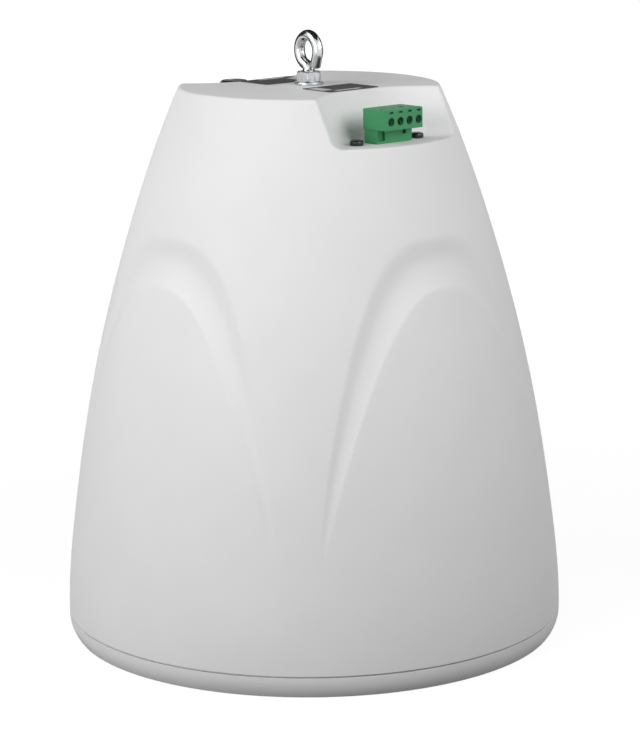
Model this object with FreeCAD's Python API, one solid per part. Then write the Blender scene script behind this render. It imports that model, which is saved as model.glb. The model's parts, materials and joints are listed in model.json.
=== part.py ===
import FreeCAD, Part
import math
import os

from FreeCAD import Vector

# Pendant loudspeaker: a moulded bell hung from an eyebolt, with the driver facing down.
# Millimetres, +Z up. The origin is the centre of the face that the trim ring stands on.
# -Y is the side of the terminal pocket and +Y the side of the tap switch pocket.

# Bell
bell_max_r = 104.8       # widest radius of the moulding
bell_wide_z = 10.0       # height of the widest place
deck_z = 231.0           # flat top face
deck_r = 54.0            # radius of the top face
deck_edge_r = 0.8        # rounding of the top edge
bell_wall = 3.0
deck_wall = 3.5
deck_lean = 5.0          # how far the outline turns in under the deck's edge
flare_1 = (0.18, 0.937)  # share of the height, share of the flare that is left there
flare_2 = (0.45, 0.746)
flare_3 = (0.72, 0.444)

# Crescent flutes round the bell, one over each pocket and one between
arch_count = 4
arch_depth = 2.6
arch_leg_deg = 40.2      # half the angle between the legs' outer lines
arch_foot_z = 54.0       # where the outer line's legs run out
arch_top_z = 176.6       # outer line at the crown
arch_round = 3.2         # powers of the angle and of the height in the outer line
arch_fall = 1.45
sill_leg_deg = 39.3      # the same for the inner line
sill_foot_z = 52.0
sill_top_z = 156.4
sill_round = 2.35
sill_fall = 1.15
arch_wall_share = 0.45   # share of the flute's width that its soft wall takes
arch_wall_lead = 0.25    # share of the wall's drop that starts at its edge
arch_end_share = 0.985   # share of the inner line's leg angle that the cut reaches
arch_run_out = 24        # power with which the depth closes at that end
arch_end_depth = 0.02    # share of the depth that is left there
arch_points = 10         # points across the flute
arch_reach = 8.0         # how far the cutter stands out of the wall
arch_stations = (0.1, 0.2, 0.3, 0.4, 0.5, 0.6, 0.7, 0.78, 0.85, 0.91, 0.96, 1.0)

# Pockets in the top edge, one for the terminals and one for the tap switch
pocket_floor_z = 211.7
pocket_back = 29.0       # back wall from the axis, at the deck
pocket_half = 20.0       # half the back wall's length, at the deck
pocket_floor_back = 33.0
pocket_floor_half = 13.5
pocket_flare_deg = 45.5  # side walls, measured from the pocket's own axis
pocket_corner_r = 7.0
pocket_floor_r = 3.0
pocket_reach = 10.0      # how far the cutter stands out of the bell
pocket_over = 5.0        # and above the deck
pocket_side_wall = 0.6   # side wall's share of the back wall's thickness

# Trim ring, grille and cloth under the bell
seam_z = 8.9
seam_gap = 0.6
seam_land = 1.2          # width of the open seam, radially
seam_step_play = 0.2     # between the bell's lower edge and the ring's step
trim_foot_in = 2.8       # foot's edge inside the bell's widest radius
trim_wall = 2.8
trim_bore_in = 9.6       # bore inside the widest radius
trim_web = 2.5
trim_bulge_out = 0.27    # place of the side's rounding, as shares of its width and height
trim_bulge_up = 0.42
flange_bore_in = 19.2    # flange's bore inside the widest radius
flange_t = 3.0
grille_t = 1.0
grille_lift = 0.8        # underside of the grille above the foot
grille_play = 0.3
hole_pitch = 12.6
hole_across = 10.4       # hexagon holes, across the flats
hole_border = 0.75       # plain border, as a share of a hole
cloth_t = 0.5

# Baffle and its screws
baffle_z = 14.0
baffle_t = 6.0
baffle_play = 0.4
gasket_t = 1.0
gasket_width = 5.0
boss_count = 6
boss_in = 15.0           # screw circle inside the bell's widest radius
boss_r = 4.6
boss_first_deg = 30.0
boss_head_r = 3.5
boss_head_h = 2.4
boss_h = 26.0
boss_web_t = 3.0
ledge_t = 2.0
ledge_rise = 9.0         # height of the ledge where it meets the wall
screw_play = 0.3
window_play = 0.4
pad_r = 3.4
boss_screw_r = 1.9
boss_screw_len = 24.0

# Driver, four and a half inch class
driver_hole_r = 51.0
driver_flange_r = 58.0
driver_flange_t = 2.5
driver_gasket_t = 0.8
driver_screw_circle_r = 54.4
driver_screw_count = 4
driver_screw_r = 1.5
frame_t = 1.6
frame_shelf_r = 36.0     # outside of the frame at the spider
frame_shelf_up = 20.0    # shelf above the flange's front face
frame_rear_r = 31.0
frame_depth = 35.0       # whole depth of the frame
window_count = 4
window_width = 34.0
cone_edge_r = 40.0
cone_depth = 17.0
paper_t = 0.6
cap_sag = 4.0            # depth of the dust cap's dome
cap_overlap = 3.2        # its rim outside the coil former
cap_rim_down = 2.6       # its rim below the cone's neck
roll_r = 3.6             # half roll of the surround
coil_r = 12.5            # bore of the voice coil former
former_t = 0.3
winding_t = 0.6
winding_len = 8.0
pole_gap = 0.5
plate_gap = 0.5
top_plate_r = 40.0
top_plate_t = 5.0
magnet_r = 42.0
magnet_bore_r = 19.0
magnet_t = 14.0
yoke_t = 5.0
neck_play = 0.6          # frame's neck inside the baffle's hole
neck_h = 3.0
shelf_w = 4.0
window_low = 5.0         # window above the flange
window_gap = 1.5         # window under the shelf
seat_w = 6.0             # rear seat outside the coil's bore
small_head_r = 2.8       # the small screws on the baffle
small_head_h = 1.8
small_screw_r = 1.5
small_hole_r = 1.7
land_w = 3.0
glue_w = 0.4
cone_rim_w = 2.0
roll_thin = 1.2
cone_crown = 1.5         # how far the cone's middle bows inwards
cone_crown_down = 0.6
spider_waves = 4
spider_depth = 1.4
spider_land = 4.0
pole_edge = 1.0
pole_proud = 0.5

# Bass ports
port_count = 2
port_centre_r = 71.8
port_bore_r = 10.5
port_wall = 1.8
port_len = 64.0
port_lip = 0.8
port_lip_t = 1.4
port_flare = 1.2
port_flare_h = 1.5

# Line transformer and crossover board, both on the baffle
core_w = 42.0
core_h = 35.0
core_t = 14.0
core_limb = 7.0
bobbin_t = 25.0
strap_t = 1.2
strap_foot = 10.0
bobbin_edge_r = 3.0
strap_screw_len = 6.0
transformer_y = 72.0
board_w = 52.0
board_d = 26.0
board_t = 1.6
board_lift = 6.0
board_y = -72.0
coil_out_r = 10.0
coil_in_r = 5.0
coil_h = 11.0
coil_x = -9.0
board_screw_in = 4.0     # screws inside the board's ends
board_screw_bite = 4.0
spacer_r = 3.2
capacitor_x = 9.0
capacitor_edge_r = 0.8
capacitor_r = 5.5
capacitor_len = 20.0

# Foam lining behind the wall
lining_t = 9.0
lining_gap = 0.3
lining_z0 = 82.0
lining_z1 = 192.0
lining_steps = 4

# Suspension
rod_r = 2.3
rod_round = 0.4          # rounding of the free end, as a share of the rod's radius
eye_r = 6.2              # centre line of the eye
eye_neck_r = 3.0         # centre line of the bend under the eye
eye_top_z = 253.6
eye_leave_deg = 18.0     # below the level line, where the free end leaves the circle
eye_tail_len = 5.2       # straight length of the free end
eye_turn_deg = 4.5       # turn of the eye from the plane of the two pockets
thread_r = 3.0
thread_end_z = 208.0
thread_proud = 0.8       # thread above the nut
nut_across = 9.4
nut_turn_deg = 42.0
nut_h = 4.4
washer_r = 6.0
washer_t = 1.2
eye_boss_r = 11.0
eye_boss_h = 5.5
bolt_play = 0.2
plate_w = 44.0
plate_d = 24.0
plate_t = 2.0
plate_corner_r = 3.0

# Terminals
pole_count = 4
pole_pitch = 5.0
plug_w = 20.5
plug_y0 = -57.0          # front face
plug_y1 = -44.1          # rear face
plug_lift = 5.8          # underside above the pocket's floor
plug_h = 8.2
plug_edge = 0.5
plug_shift = 0.7         # the poles sit off the plug's middle
wire_hole_r = 1.7
wire_hole_z = 3.4        # above the plug's underside
wire_hole_deep = 8.0
wire_hole_wall = 1.9     # front wall before the clamp's space
mark_w = 2.0             # the small slots over the wire holes
mark_h = 0.8
mark_down = 1.5
mark_deep = 1.2
header_w = 19.0
header_y0 = -51.5
header_wall = 1.0
keyway_left = (0.6, 4.4, 1.2)    # from the end, to, above the floor
keyway_right = (3.2, 5.2, 3.2)
tongue_play = 0.2
tongue_h = 6.0
tongue_gap = 0.6
pin_r = 0.5
pin_len = 13.0
pin_play = 0.3
clamp_w = 3.6
clamp_h = 4.4
clamp_in = 0.5           # cage behind the front wall
clamp_floor = 0.6
clamp_roof = 1.2
clamp_screw_r = 1.3
clamp_screw_in = 5.0     # screws behind the plug's front
clamp_screw_down = 0.9
clamp_slot_w = 0.6
clamp_slot_h = 0.7
terminal_board_w = 40.0
terminal_board_d = 15.0
terminal_board_gap = 1.6
terminal_screw_x = 16.5
terminal_screw_y = -47.0
terminal_screw_r = 1.5
terminal_head_r = 2.8
terminal_head_h = 2.2
terminal_screw_len = 9.0

# Tap switch
knob_y = 48.0
knob_r = 6.1
knob_top_z = 229.2
knob_lift = 0.5
knob_edge_r = 1.4
flute_count = 18
flute_r = 0.55
shaft_r = 3.0
shaft_play = 0.05
bush_r = 3.9
switch_r = 10.0
switch_h = 13.0
switch_nut_across = 10.0
switch_nut_h = 2.0
bush_play = 0.1
shaft_cover = 3.0        # knob above the shaft's end, and the switch's closed floor
shaft_end_play = 0.3
flute_down = 2.2
pointer_in = 1.0         # ends of the pointer from the knob's middle and edge
pointer_out = 1.5
pointer_w = 0.9
pointer_t = 0.4

# Deck labels
label_w = 26.8
label_in = 10.7          # inner edge from the axis
label_out = 28.3
label_t = 0.25
label_corner_r = 1.0

# Screw heads
head_round = 0.45        # rounding, as a share of the head's height
slot_share = 0.65
slot_w = 0.8
slot_deep = 0.35

LAP = 0.5                # how far joined bodies run into each other
NEAR = 0.01              # reach within which an edge or a face counts as found
AXIS = Vector(0, 0, 1)
parts = {}

# Places that follow from the sizes above
boss_circle_r = bell_max_r - boss_in
trim_foot_r = bell_max_r - trim_foot_in
trim_bore_r = bell_max_r - trim_bore_in
flange_bore_r = bell_max_r - flange_bore_in
plug_z0 = pocket_floor_z + plug_lift
grille_z = grille_lift
trim_top = seam_z - seam_gap / 2
bell_base = seam_z + seam_gap / 2
flange_z = baffle_z - flange_t
baffle_top = baffle_z + baffle_t
driver_gasket_z = baffle_z - driver_gasket_t
driver_z = driver_gasket_z - driver_flange_t
frame_back = driver_z + frame_depth
top_plate_z = frame_back
magnet_z = top_plate_z + top_plate_t
yoke_z = magnet_z + magnet_t
washer_z = deck_z
nut_z = washer_z + washer_t
eye_z = eye_top_z - rod_r - eye_r
ceiling_z = deck_z - deck_wall
eye_boss_z = ceiling_z - eye_boss_h
plate_z = eye_boss_z - plate_t
pocket_under = pocket_floor_z - bell_wall
plug_z1 = plug_z0 + plug_h
header_mid_y = (header_y0 + plug_y1) / 2
board_top = pocket_under - terminal_board_gap
knob_z = pocket_floor_z + switch_nut_h + knob_lift
shaft_z0 = pocket_under - switch_h + shaft_cover
clamp_screw_y = plug_y0 + clamp_screw_in
clamp_y0 = plug_y0 + wire_hole_wall


def polar(r, deg, z=0.0):
    a = math.radians(deg)
    return Vector(r * math.cos(a), r * math.sin(a), z)


def ring_places(count, r, first=0.0):
    return [polar(r, first + i * 360.0 / count) for i in range(count)]


def boss_places():
    return ring_places(boss_count, boss_circle_r, boss_first_deg)


def cyl(r, z0, z1, at=Vector(0, 0, 0)):
    return Part.makeCylinder(r, z1 - z0, Vector(at.x, at.y, z0), AXIS)


def tube(r_out, r_in, z0, z1, at=Vector(0, 0, 0)):
    return cyl(r_out, z0, z1, at).cut(cyl(r_in, z0 - 1, z1 + 1, at))


def box(x0, x1, y0, y1, z0, z1):
    return Part.makeBox(x1 - x0, y1 - y0, z1 - z0, Vector(x0, y0, z0))


def revolve(outline):
    """Turns a closed outline of (radius, height) points round the axis."""
    points = [Vector(r, 0, z) for r, z in outline]
    face = Part.Face(Part.makePolygon(points + [points[0]]))
    return face.revolve(Vector(0, 0, 0), AXIS, 360)


def fuse_all(shapes):
    shapes = list(shapes)
    return shapes[0].multiFuse(shapes[1:]) if len(shapes) > 1 else shapes[0]


def hexagon(across, z0, z1, at=Vector(0, 0, 0), turn=0.0):
    r = across / math.sqrt(3)
    points = [polar(r, turn + 60 * i) + Vector(at.x, at.y, z0) for i in range(7)]
    return Part.Face(Part.makePolygon(points)).extrude(Vector(0, 0, z1 - z0))


def hex_nut(across, bore_r, z0, z1, at=Vector(0, 0, 0), turn=0.0):
    """A hexagon nut whose corners are turned off at both ends."""
    r = across / math.sqrt(3)
    drop = (r - across / 2) * math.tan(math.radians(30))
    turned = revolve([(0, z0), (across / 2, z0), (r, z0 + drop), (r, z1 - drop), (across / 2, z1), (0, z1)])
    turned.translate(Vector(at.x, at.y, 0))
    return hexagon(across, z0, z1, at, turn).common(turned).cut(cyl(bore_r, z0 - 1, z1 + 1, at))


def pan_screw(head_r, head_h, shank_r, z, length, at, up=True):
    """A screw with a rounded head. z is the face that the head bears on."""
    way = 1 if up else -1
    head = Part.makeCylinder(head_r, head_h, Vector(0, 0, 0), Vector(0, 0, -way))
    rim = [e for e in head.Edges if abs(e.BoundBox.ZMin + way * head_h) < 1e-6 and e.BoundBox.ZLength < 1e-6]
    head = head.makeFillet(head_h * head_round, rim)
    half = head_r * slot_share
    corner = Vector(-half, -slot_w / 2, -slot_deep - way * head_h)
    slot = Part.makeBox(2 * half, slot_w, 2 * slot_deep, corner)
    shank = Part.makeCylinder(shank_r, length, Vector(0, 0, 0), Vector(0, 0, way))
    screw = head.cut(slot).fuse(shank)
    screw.translate(Vector(at.x, at.y, z))
    return screw


def small_screw(z, length, at):
    return pan_screw(small_head_r, small_head_h, small_screw_r, z, length, at, up=False)


def bell_point(share, inset=0.0, top_inset=0.0):
    """A place on the bell's outline: share of the height, then the flare left there."""
    height, left = share
    z = bell_wide_z + height * (deck_z - top_inset - bell_wide_z)
    r = deck_r - inset + left * (bell_max_r - deck_r)
    return Vector(r, 0, z)


def bell_curve(inset=0.0, top_inset=0.0):
    points = [bell_point(s, inset, top_inset) for s in ((0, 1), flare_1, flare_2, flare_3, (1, 0))]
    curve = Part.BSplineCurve()
    lean = points[4] - points[3] - Vector(deck_lean, 0, 0)
    curve.interpolate(points, InitialTangent=Vector(0, 0, 1), FinalTangent=lean)
    return curve


def curve_radius(curve, z):
    cut = curve.intersect(Part.Line(Vector(0, 0, z), Vector(1, 0, z)))
    return cut[0].X


def bell_radius(z, inset=0.0):
    return curve_radius(bell_curve(inset), min(max(z, bell_wide_z + NEAR), deck_z - NEAR))


def bell_solid(base, inset=0.0, top_inset=0.0):
    curve = bell_curve(inset, top_inset)
    wide = curve.value(curve.FirstParameter)
    top = curve.value(curve.LastParameter)
    edges = [
        Part.makeLine(Vector(0, 0, base), Vector(wide.x, 0, base)),
        Part.makeLine(Vector(wide.x, 0, base), wide),
        curve.toShape(),
        Part.makeLine(top, Vector(0, 0, top.z)),
        Part.makeLine(Vector(0, 0, top.z), Vector(0, 0, base)),
    ]
    return Part.Face(Part.Wire(edges)).revolve(Vector(0, 0, 0), AXIS, 360)


def arch_line(deg, top_z, foot_z, leg_deg, power, fall):
    """Height of one of the flute's two lines at an angle from its crown."""
    left = 1 - min(abs(deg) / leg_deg, 1.0) ** power
    return foot_z + (top_z - foot_z) * left ** (1 / fall)


def arch_drop(share):
    """The flute's section: a soft wall, then a ramp that is steepest at the inner line."""
    if share < arch_wall_share:
        t = share / arch_wall_share
        return arch_wall_lead * t + (1 - arch_wall_lead) * t * t * (3 - 2 * t)
    t = (share - arch_wall_share) / (1 - arch_wall_share)
    return 1 - t * t


def arch_section(deg, inset):
    """The closed section that the flute takes out in the half plane at an angle from its crown."""
    outer_z = arch_line(deg, arch_top_z, arch_foot_z, arch_leg_deg, arch_round, arch_fall)
    inner_z = arch_line(deg, sill_top_z, sill_foot_z, sill_leg_deg, sill_round, sill_fall)
    rise = (outer_z - arch_foot_z) / (arch_top_z - arch_foot_z)
    close = 1 - (abs(deg) / (sill_leg_deg * arch_end_share)) ** arch_run_out
    depth = arch_depth * rise * max(close, arch_end_depth)
    points = []
    for i in range(arch_points + 1):
        share = i / arch_points
        z = outer_z + (inner_z - outer_z) * share
        points.append(Vector(bell_radius(z, inset) - depth * arch_drop(share), 0, z))
    above = points[0] + (points[0] - points[1])
    below = points[-1] + (points[-1] - points[-2])
    curve = Part.BSplineCurve()
    curve.interpolate([above] + points + [below])
    out = Vector(arch_reach, 0, 0)
    edges = [curve.toShape(), Part.makeLine(below, below + out), Part.makeLine(below + out, above + out),
             Part.makeLine(above + out, above)]
    wire = Part.Wire(edges)
    wire.rotate(Vector(0, 0, 0), AXIS, deg - 90)
    return wire


def arch_cutter(inset=0.0):
    """The solid that one crescent flute takes out of the bell's wall."""
    last = sill_leg_deg * arch_end_share
    half = [last * share for share in arch_stations]
    stations = [-deg for deg in reversed(half)] + [0.0] + half
    return Part.makeLoft([arch_section(deg, inset) for deg in stations], True, False)


def arches(inset=0.0):
    cutter = arch_cutter(inset)
    out = []
    for i in range(arch_count):
        turned = cutter.copy()
        turned.rotate(Vector(0, 0, 0), AXIS, i * 360.0 / arch_count)
        out.append(turned)
    return out


def pocket_wire(back, half, z, reach, corner):
    """The pocket's plan at one height: back wall, rounded corners and flared sides."""
    run = reach - back
    spread = run * math.tan(math.radians(pocket_flare_deg))
    bend = math.radians(90 - pocket_flare_deg)
    cut = corner * math.tan(bend / 2)
    side = Vector(math.cos(bend), -math.sin(bend), 0)
    mid = Vector(half, -back, z)
    start = mid - Vector(cut, 0, 0)
    stop = mid + side * cut
    centre = start + Vector(0, -corner, 0)
    middle = centre + Vector(math.sin(bend / 2), math.cos(bend / 2), 0) * corner

    def mirror(p):
        return Vector(-p.x, p.y, p.z)

    far = Vector(half + spread, -reach, z)
    edges = [
        Part.makeLine(mirror(start), start),
        Part.Arc(start, middle, stop).toShape(),
        Part.makeLine(stop, far),
        Part.makeLine(far, mirror(far)),
        Part.makeLine(mirror(far), mirror(stop)),
        Part.Arc(mirror(stop), mirror(middle), mirror(start)).toShape(),
    ]
    return Part.Wire(edges)


def pocket_cutter(grow=0.0):
    """The space of the terminal pocket. grow adds the wall behind it."""
    reach = bell_max_r + pocket_reach
    rise = deck_z - pocket_floor_z
    lean = (pocket_floor_back - pocket_back) / rise
    narrow = (pocket_half - pocket_floor_half) / rise
    spans = []
    for z in (pocket_floor_z - grow, deck_z + pocket_over):
        up = z - pocket_floor_z
        back = pocket_floor_back - lean * up - grow
        half = pocket_floor_half + narrow * up + grow * pocket_side_wall
        spans.append(pocket_wire(back, half, z, reach, pocket_corner_r + grow))
    solid = Part.makeLoft(spans, True, True)
    floor = [e for e in solid.Edges
             if e.BoundBox.ZMax < pocket_floor_z - grow + NEAR and e.BoundBox.YMax > -reach + 1]
    return solid.makeFillet(pocket_floor_r + grow, floor)


def pockets(grow=0.0):
    front = pocket_cutter(grow)
    rear = front.copy()
    rear.rotate(Vector(0, 0, 0), AXIS, 180)
    return [front, rear]


def terminal_window():
    """The cut in the pocket floor that the header stands in."""
    half = header_w / 2 + window_play
    y0, y1 = header_y0 - window_play, plug_y1 + window_play
    return box(-half, half, y0, y1, pocket_under - bell_wall, pocket_floor_z + 1)


def bell_shell():
    """The moulded enclosure: fluted bell, two pockets, screw bosses and the eyebolt's boss."""
    outer = bell_solid(bell_base)
    edge = [e for e in outer.Edges if abs(e.BoundBox.ZMin - deck_z) < 1e-4 and e.BoundBox.ZLength < 1e-3]
    outer = outer.makeFillet(deck_edge_r, edge)
    outer = outer.cut(arches() + pockets())
    cavity = bell_solid(bell_base - 1, bell_wall, deck_wall)
    cavity = cavity.cut(arches(bell_wall) + pockets(bell_wall))
    shell = outer.cut(cavity)
    ledge_z = baffle_top + gasket_t
    wall_r = bell_radius(ledge_z)
    inner_r = wall_r - bell_wall - gasket_width
    ledge = revolve([
        (wall_r - bell_wall / 2, ledge_z), (inner_r, ledge_z),
        (inner_r, ledge_z + ledge_t), (wall_r - bell_wall / 2, ledge_z + ledge_rise)])
    bosses = []
    for at in boss_places():
        web_r = bell_radius(baffle_top + boss_h) - bell_wall / 2
        deg = math.degrees(math.atan2(at.y, at.x))
        half = boss_web_t / 2
        web = box(boss_circle_r, web_r, -half, half, baffle_top + gasket_t, baffle_top + boss_h)
        web.rotate(Vector(0, 0, 0), AXIS, deg)
        bosses += [cyl(boss_r, baffle_top, baffle_top + boss_h, at), web]
    boss = cyl(eye_boss_r, eye_boss_z, ceiling_z + LAP)
    pads = []
    for x in (-terminal_screw_x, terminal_screw_x):
        pads.append(cyl(pad_r, board_top, pocket_under + LAP, Vector(x, terminal_screw_y, 0)))
    shell = shell.multiFuse([ledge, boss] + bosses + pads)
    holes = [cyl(thread_r + bolt_play, eye_boss_z - 1, deck_z + 1)]
    holes += [cyl(boss_screw_r, baffle_top - 1, baffle_z + boss_screw_len + 2, at)
              for at in boss_places()]
    holes += [cyl(terminal_screw_r, board_top - 1, pocket_floor_z + 1, Vector(x, terminal_screw_y, 0))
              for x in (-terminal_screw_x, terminal_screw_x)]
    holes.append(cyl(bush_r, pocket_under - 1, pocket_floor_z + 1, Vector(0, knob_y, 0)))
    holes.append(terminal_window())
    return shell.cut(holes)


def trim_ring():
    """The moulded ring under the seam, with the flange that the baffle screws clamp."""
    outer = bell_radius(trim_top)
    step = bell_max_r - seam_land - seam_step_play
    wall_in = step - trim_wall + 2 * seam_step_play
    bore = trim_bore_r + trim_wall
    foot = Vector(trim_foot_r, 0, 0)
    shoulder = Vector(outer, 0, trim_top)
    bulge = Vector(outer - (outer - trim_foot_r) * trim_bulge_out, 0, trim_top * trim_bulge_up)
    corners = [
        shoulder, Vector(step, 0, trim_top), Vector(step, 0, bell_base), Vector(wall_in, 0, bell_base),
        Vector(wall_in, 0, trim_web), Vector(bore, 0, trim_web), Vector(bore, 0, baffle_z),
        Vector(flange_bore_r, 0, baffle_z), Vector(flange_bore_r, 0, flange_z),
        Vector(trim_bore_r, 0, flange_z), Vector(trim_bore_r, 0, 0), foot]
    edges = [Part.makeLine(a, b) for a, b in zip(corners[:-1], corners[1:])]
    edges.append(Part.Arc(foot, bulge, shoulder).toShape())
    ring = Part.Face(Part.Wire(edges)).revolve(Vector(0, 0, 0), AXIS, 360)
    holes = [cyl(boss_screw_r + screw_play, flange_z - 1, baffle_z + 1, at)
             for at in boss_places()]
    return ring.cut(holes)


def grille():
    """A pan of steel sheet with hexagon holes, pushed up to the trim ring's flange."""
    r_out = trim_bore_r - grille_play
    pan = revolve([
        (0, grille_z), (r_out, grille_z), (r_out, flange_z), (r_out - grille_t, flange_z),
        (r_out - grille_t, grille_z + grille_t), (0, grille_z + grille_t)])
    reach = r_out - grille_t - hole_across * hole_border
    row_step = hole_pitch * math.sqrt(3) / 2
    rows = int(reach / row_step)
    holes = []
    for row in range(-rows, rows + 1):
        shift = hole_pitch / 2 if row % 2 else 0.0
        columns = int(reach / hole_pitch) + 1
        for column in range(-columns, columns + 1):
            at = Vector(column * hole_pitch + shift, row * row_step, 0)
            if at.Length < reach:
                holes.append(hexagon(hole_across, grille_z - 1, grille_z + grille_t + 1, at, 30))
    return pan.cut(Part.makeCompound(holes))


def grille_cloth():
    r = trim_bore_r - grille_play - grille_t - grille_play
    z = grille_z + grille_t
    return cyl(r, z, z + cloth_t)


def baffle():
    r = bell_radius(baffle_top) - bell_wall - baffle_play
    plate = cyl(r, baffle_z, baffle_top)
    holes = [cyl(driver_hole_r, baffle_z - 1, baffle_top + 1)]
    holes += [cyl(port_bore_r + port_wall, baffle_z - 1, baffle_top + 1, at)
              for at in ring_places(port_count, port_centre_r)]
    holes += [cyl(boss_screw_r + screw_play, baffle_z - 1, baffle_top + 1, at)
              for at in boss_places()]
    holes += [cyl(driver_screw_r, baffle_z - 1, baffle_top + 1, at)
              for at in ring_places(driver_screw_count, driver_screw_circle_r, 45)]
    holes += [cyl(small_screw_r, baffle_z + 1, baffle_top + 1, at) for at in baffle_fixings()]
    return plate.cut(holes)


def baffle_fixings():
    """Where the small screws of the transformer and the crossover board enter the baffle."""
    x_strap = core_w / 2 + strap_t + strap_foot / 2
    x_board = board_w / 2 - board_screw_in
    return [
        Vector(-x_strap, transformer_y, 0), Vector(x_strap, transformer_y, 0),
        Vector(-x_board, board_y, 0), Vector(x_board, board_y, 0)]


def baffle_gasket():
    r = bell_radius(baffle_top) - bell_wall - baffle_play
    return tube(r, r - gasket_width, baffle_top, baffle_top + gasket_t)


def baffle_screws():
    screws = [pan_screw(boss_head_r, boss_head_h, boss_screw_r, flange_z, boss_screw_len, at)
              for at in boss_places()]
    return Part.makeCompound(screws)


def driver_frame():
    """The stamped steel frame: flange, four windows, spider shelf and rear seat."""
    z = driver_z
    neck = driver_hole_r - neck_play
    neck_z = z + driver_flange_t + neck_h
    shelf = z + frame_shelf_up
    shelf_in = frame_shelf_r - shelf_w
    seat_r = coil_r + seat_w
    outline = [
        (neck - frame_t, z), (driver_flange_r, z), (driver_flange_r, z + driver_flange_t),
        (neck, z + driver_flange_t), (neck, neck_z), (frame_shelf_r, shelf + frame_t),
        (frame_rear_r, shelf + frame_t), (frame_rear_r, frame_back), (seat_r, frame_back),
        (seat_r, frame_back - frame_t), (frame_rear_r - frame_t, frame_back - frame_t),
        (frame_rear_r - frame_t, shelf), (frame_shelf_r - frame_t, shelf),
        (neck - frame_t, neck_z - frame_t / 2)]
    frame = revolve(outline)
    windows = []
    for at in ring_places(window_count, 1, 0):
        deg = math.degrees(math.atan2(at.y, at.x))
        half = window_width / 2
        low = z + driver_flange_t + window_low
        cut = box(shelf_in + frame_t, driver_flange_r, -half, half, low, shelf - window_gap)
        cut.rotate(Vector(0, 0, 0), AXIS, deg)
        windows.append(cut)
    holes = [cyl(driver_screw_r + screw_play, z - 1, z + driver_flange_t + 1, at)
             for at in ring_places(driver_screw_count, driver_screw_circle_r, 45)]
    return frame.cut(windows + holes)


def driver_gasket():
    ring = tube(driver_flange_r, driver_hole_r, driver_gasket_z, baffle_z)
    holes = [cyl(driver_screw_r + screw_play, driver_gasket_z - 1, baffle_z + 1, at)
             for at in ring_places(driver_screw_count, driver_screw_circle_r, 45)]
    return ring.cut(holes)


def driver_screws():
    length = driver_flange_t + driver_gasket_t + baffle_t
    screws = [pan_screw(small_head_r, small_head_h, driver_screw_r, driver_z, length, at)
              for at in ring_places(driver_screw_count, driver_screw_circle_r, 45)]
    return Part.makeCompound(screws)


def arc_strip(r0, r1, z, rise, thick):
    """The section of a half roll between two radii, as a closed wire."""
    mid = (r0 + r1) / 2
    way = -1 if rise < 0 else 1
    low = [Vector(r0, 0, z), Vector(mid, 0, z + rise), Vector(r1, 0, z)]
    side = thick * roll_thin
    high = [Vector(r1 - side, 0, z), Vector(mid, 0, z + rise - way * thick), Vector(r0 + side, 0, z)]
    edges = [
        Part.Arc(*low).toShape(), Part.makeLine(low[2], high[0]),
        Part.Arc(*high).toShape(), Part.makeLine(high[2], low[0])]
    return Part.Wire(edges)


def surround():
    """The rubber half roll between the cone's edge and the frame, with its glued lands."""
    land_z = driver_z - paper_t
    inner_land = tube(cone_edge_r, cone_edge_r - land_w, land_z, driver_z)
    roll_out = cone_edge_r + 2 * roll_r + glue_w
    outer_land = tube(driver_hole_r - 2 * glue_w, roll_out - 1, land_z, driver_z)
    roll = Part.Face(arc_strip(cone_edge_r - glue_w, roll_out, driver_z, -roll_r - paper_t, paper_t))
    roll = roll.revolve(Vector(0, 0, 0), AXIS, 360)
    return fuse_all([inner_land, outer_land, roll])


def cone():
    """The paper cone, from the coil former out to the surround."""
    low = driver_z
    high = driver_z + cone_depth
    r_in = coil_r + former_t
    r_mid = (r_in + cone_edge_r) / 2 - cone_crown
    mid_z = (low + high) / 2 - cone_crown_down
    edge = cone_edge_r - paper_t
    inside = [Vector(edge - cone_rim_w, 0, low), Vector(r_mid, 0, mid_z), Vector(r_in, 0, high)]
    neck = Vector(r_in, 0, high + paper_t + glue_w)
    outside = [neck, Vector(r_mid + paper_t, 0, mid_z + paper_t), Vector(edge, 0, low)]
    edges = [
        Part.Arc(*inside).toShape(), Part.makeLine(inside[2], outside[0]),
        Part.Arc(*outside).toShape(), Part.makeLine(outside[2], inside[0])]
    return Part.Face(Part.Wire(edges)).revolve(Vector(0, 0, 0), AXIS, 360)


def dome_arc(rim_r, sag, z):
    """The arc of a shallow dome that hangs below z, from its rim to the axis."""
    ball_r = (rim_r ** 2 + sag ** 2) / (2 * sag)
    mid_r = rim_r / 2
    mid_z = z - sag + ball_r - math.sqrt(ball_r ** 2 - mid_r ** 2)
    return [Vector(rim_r, 0, z), Vector(mid_r, 0, mid_z), Vector(0, 0, z - sag)]


def dust_cap():
    """The dome that closes the cone's middle."""
    rim_r = coil_r + former_t + cap_overlap
    z = driver_z + cone_depth - cap_rim_down
    low = dome_arc(rim_r, cap_sag, z)
    top = dome_arc(rim_r - paper_t, cap_sag - paper_t, z)
    edges = [
        Part.Arc(*low).toShape(), Part.makeLine(low[2], top[2]),
        Part.Arc(*top[::-1]).toShape(), Part.makeLine(top[0], low[0])]
    return Part.Face(Part.Wire(edges)).revolve(Vector(0, 0, 0), AXIS, 360)


def former():
    low = driver_z + cone_depth
    return tube(coil_r + former_t, coil_r, low, top_plate_z + top_plate_t / 2 + winding_len / 2)


def winding():
    mid = top_plate_z + top_plate_t / 2
    r = coil_r + former_t
    return tube(r + winding_t, r, mid - winding_len / 2, mid + winding_len / 2)


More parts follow.
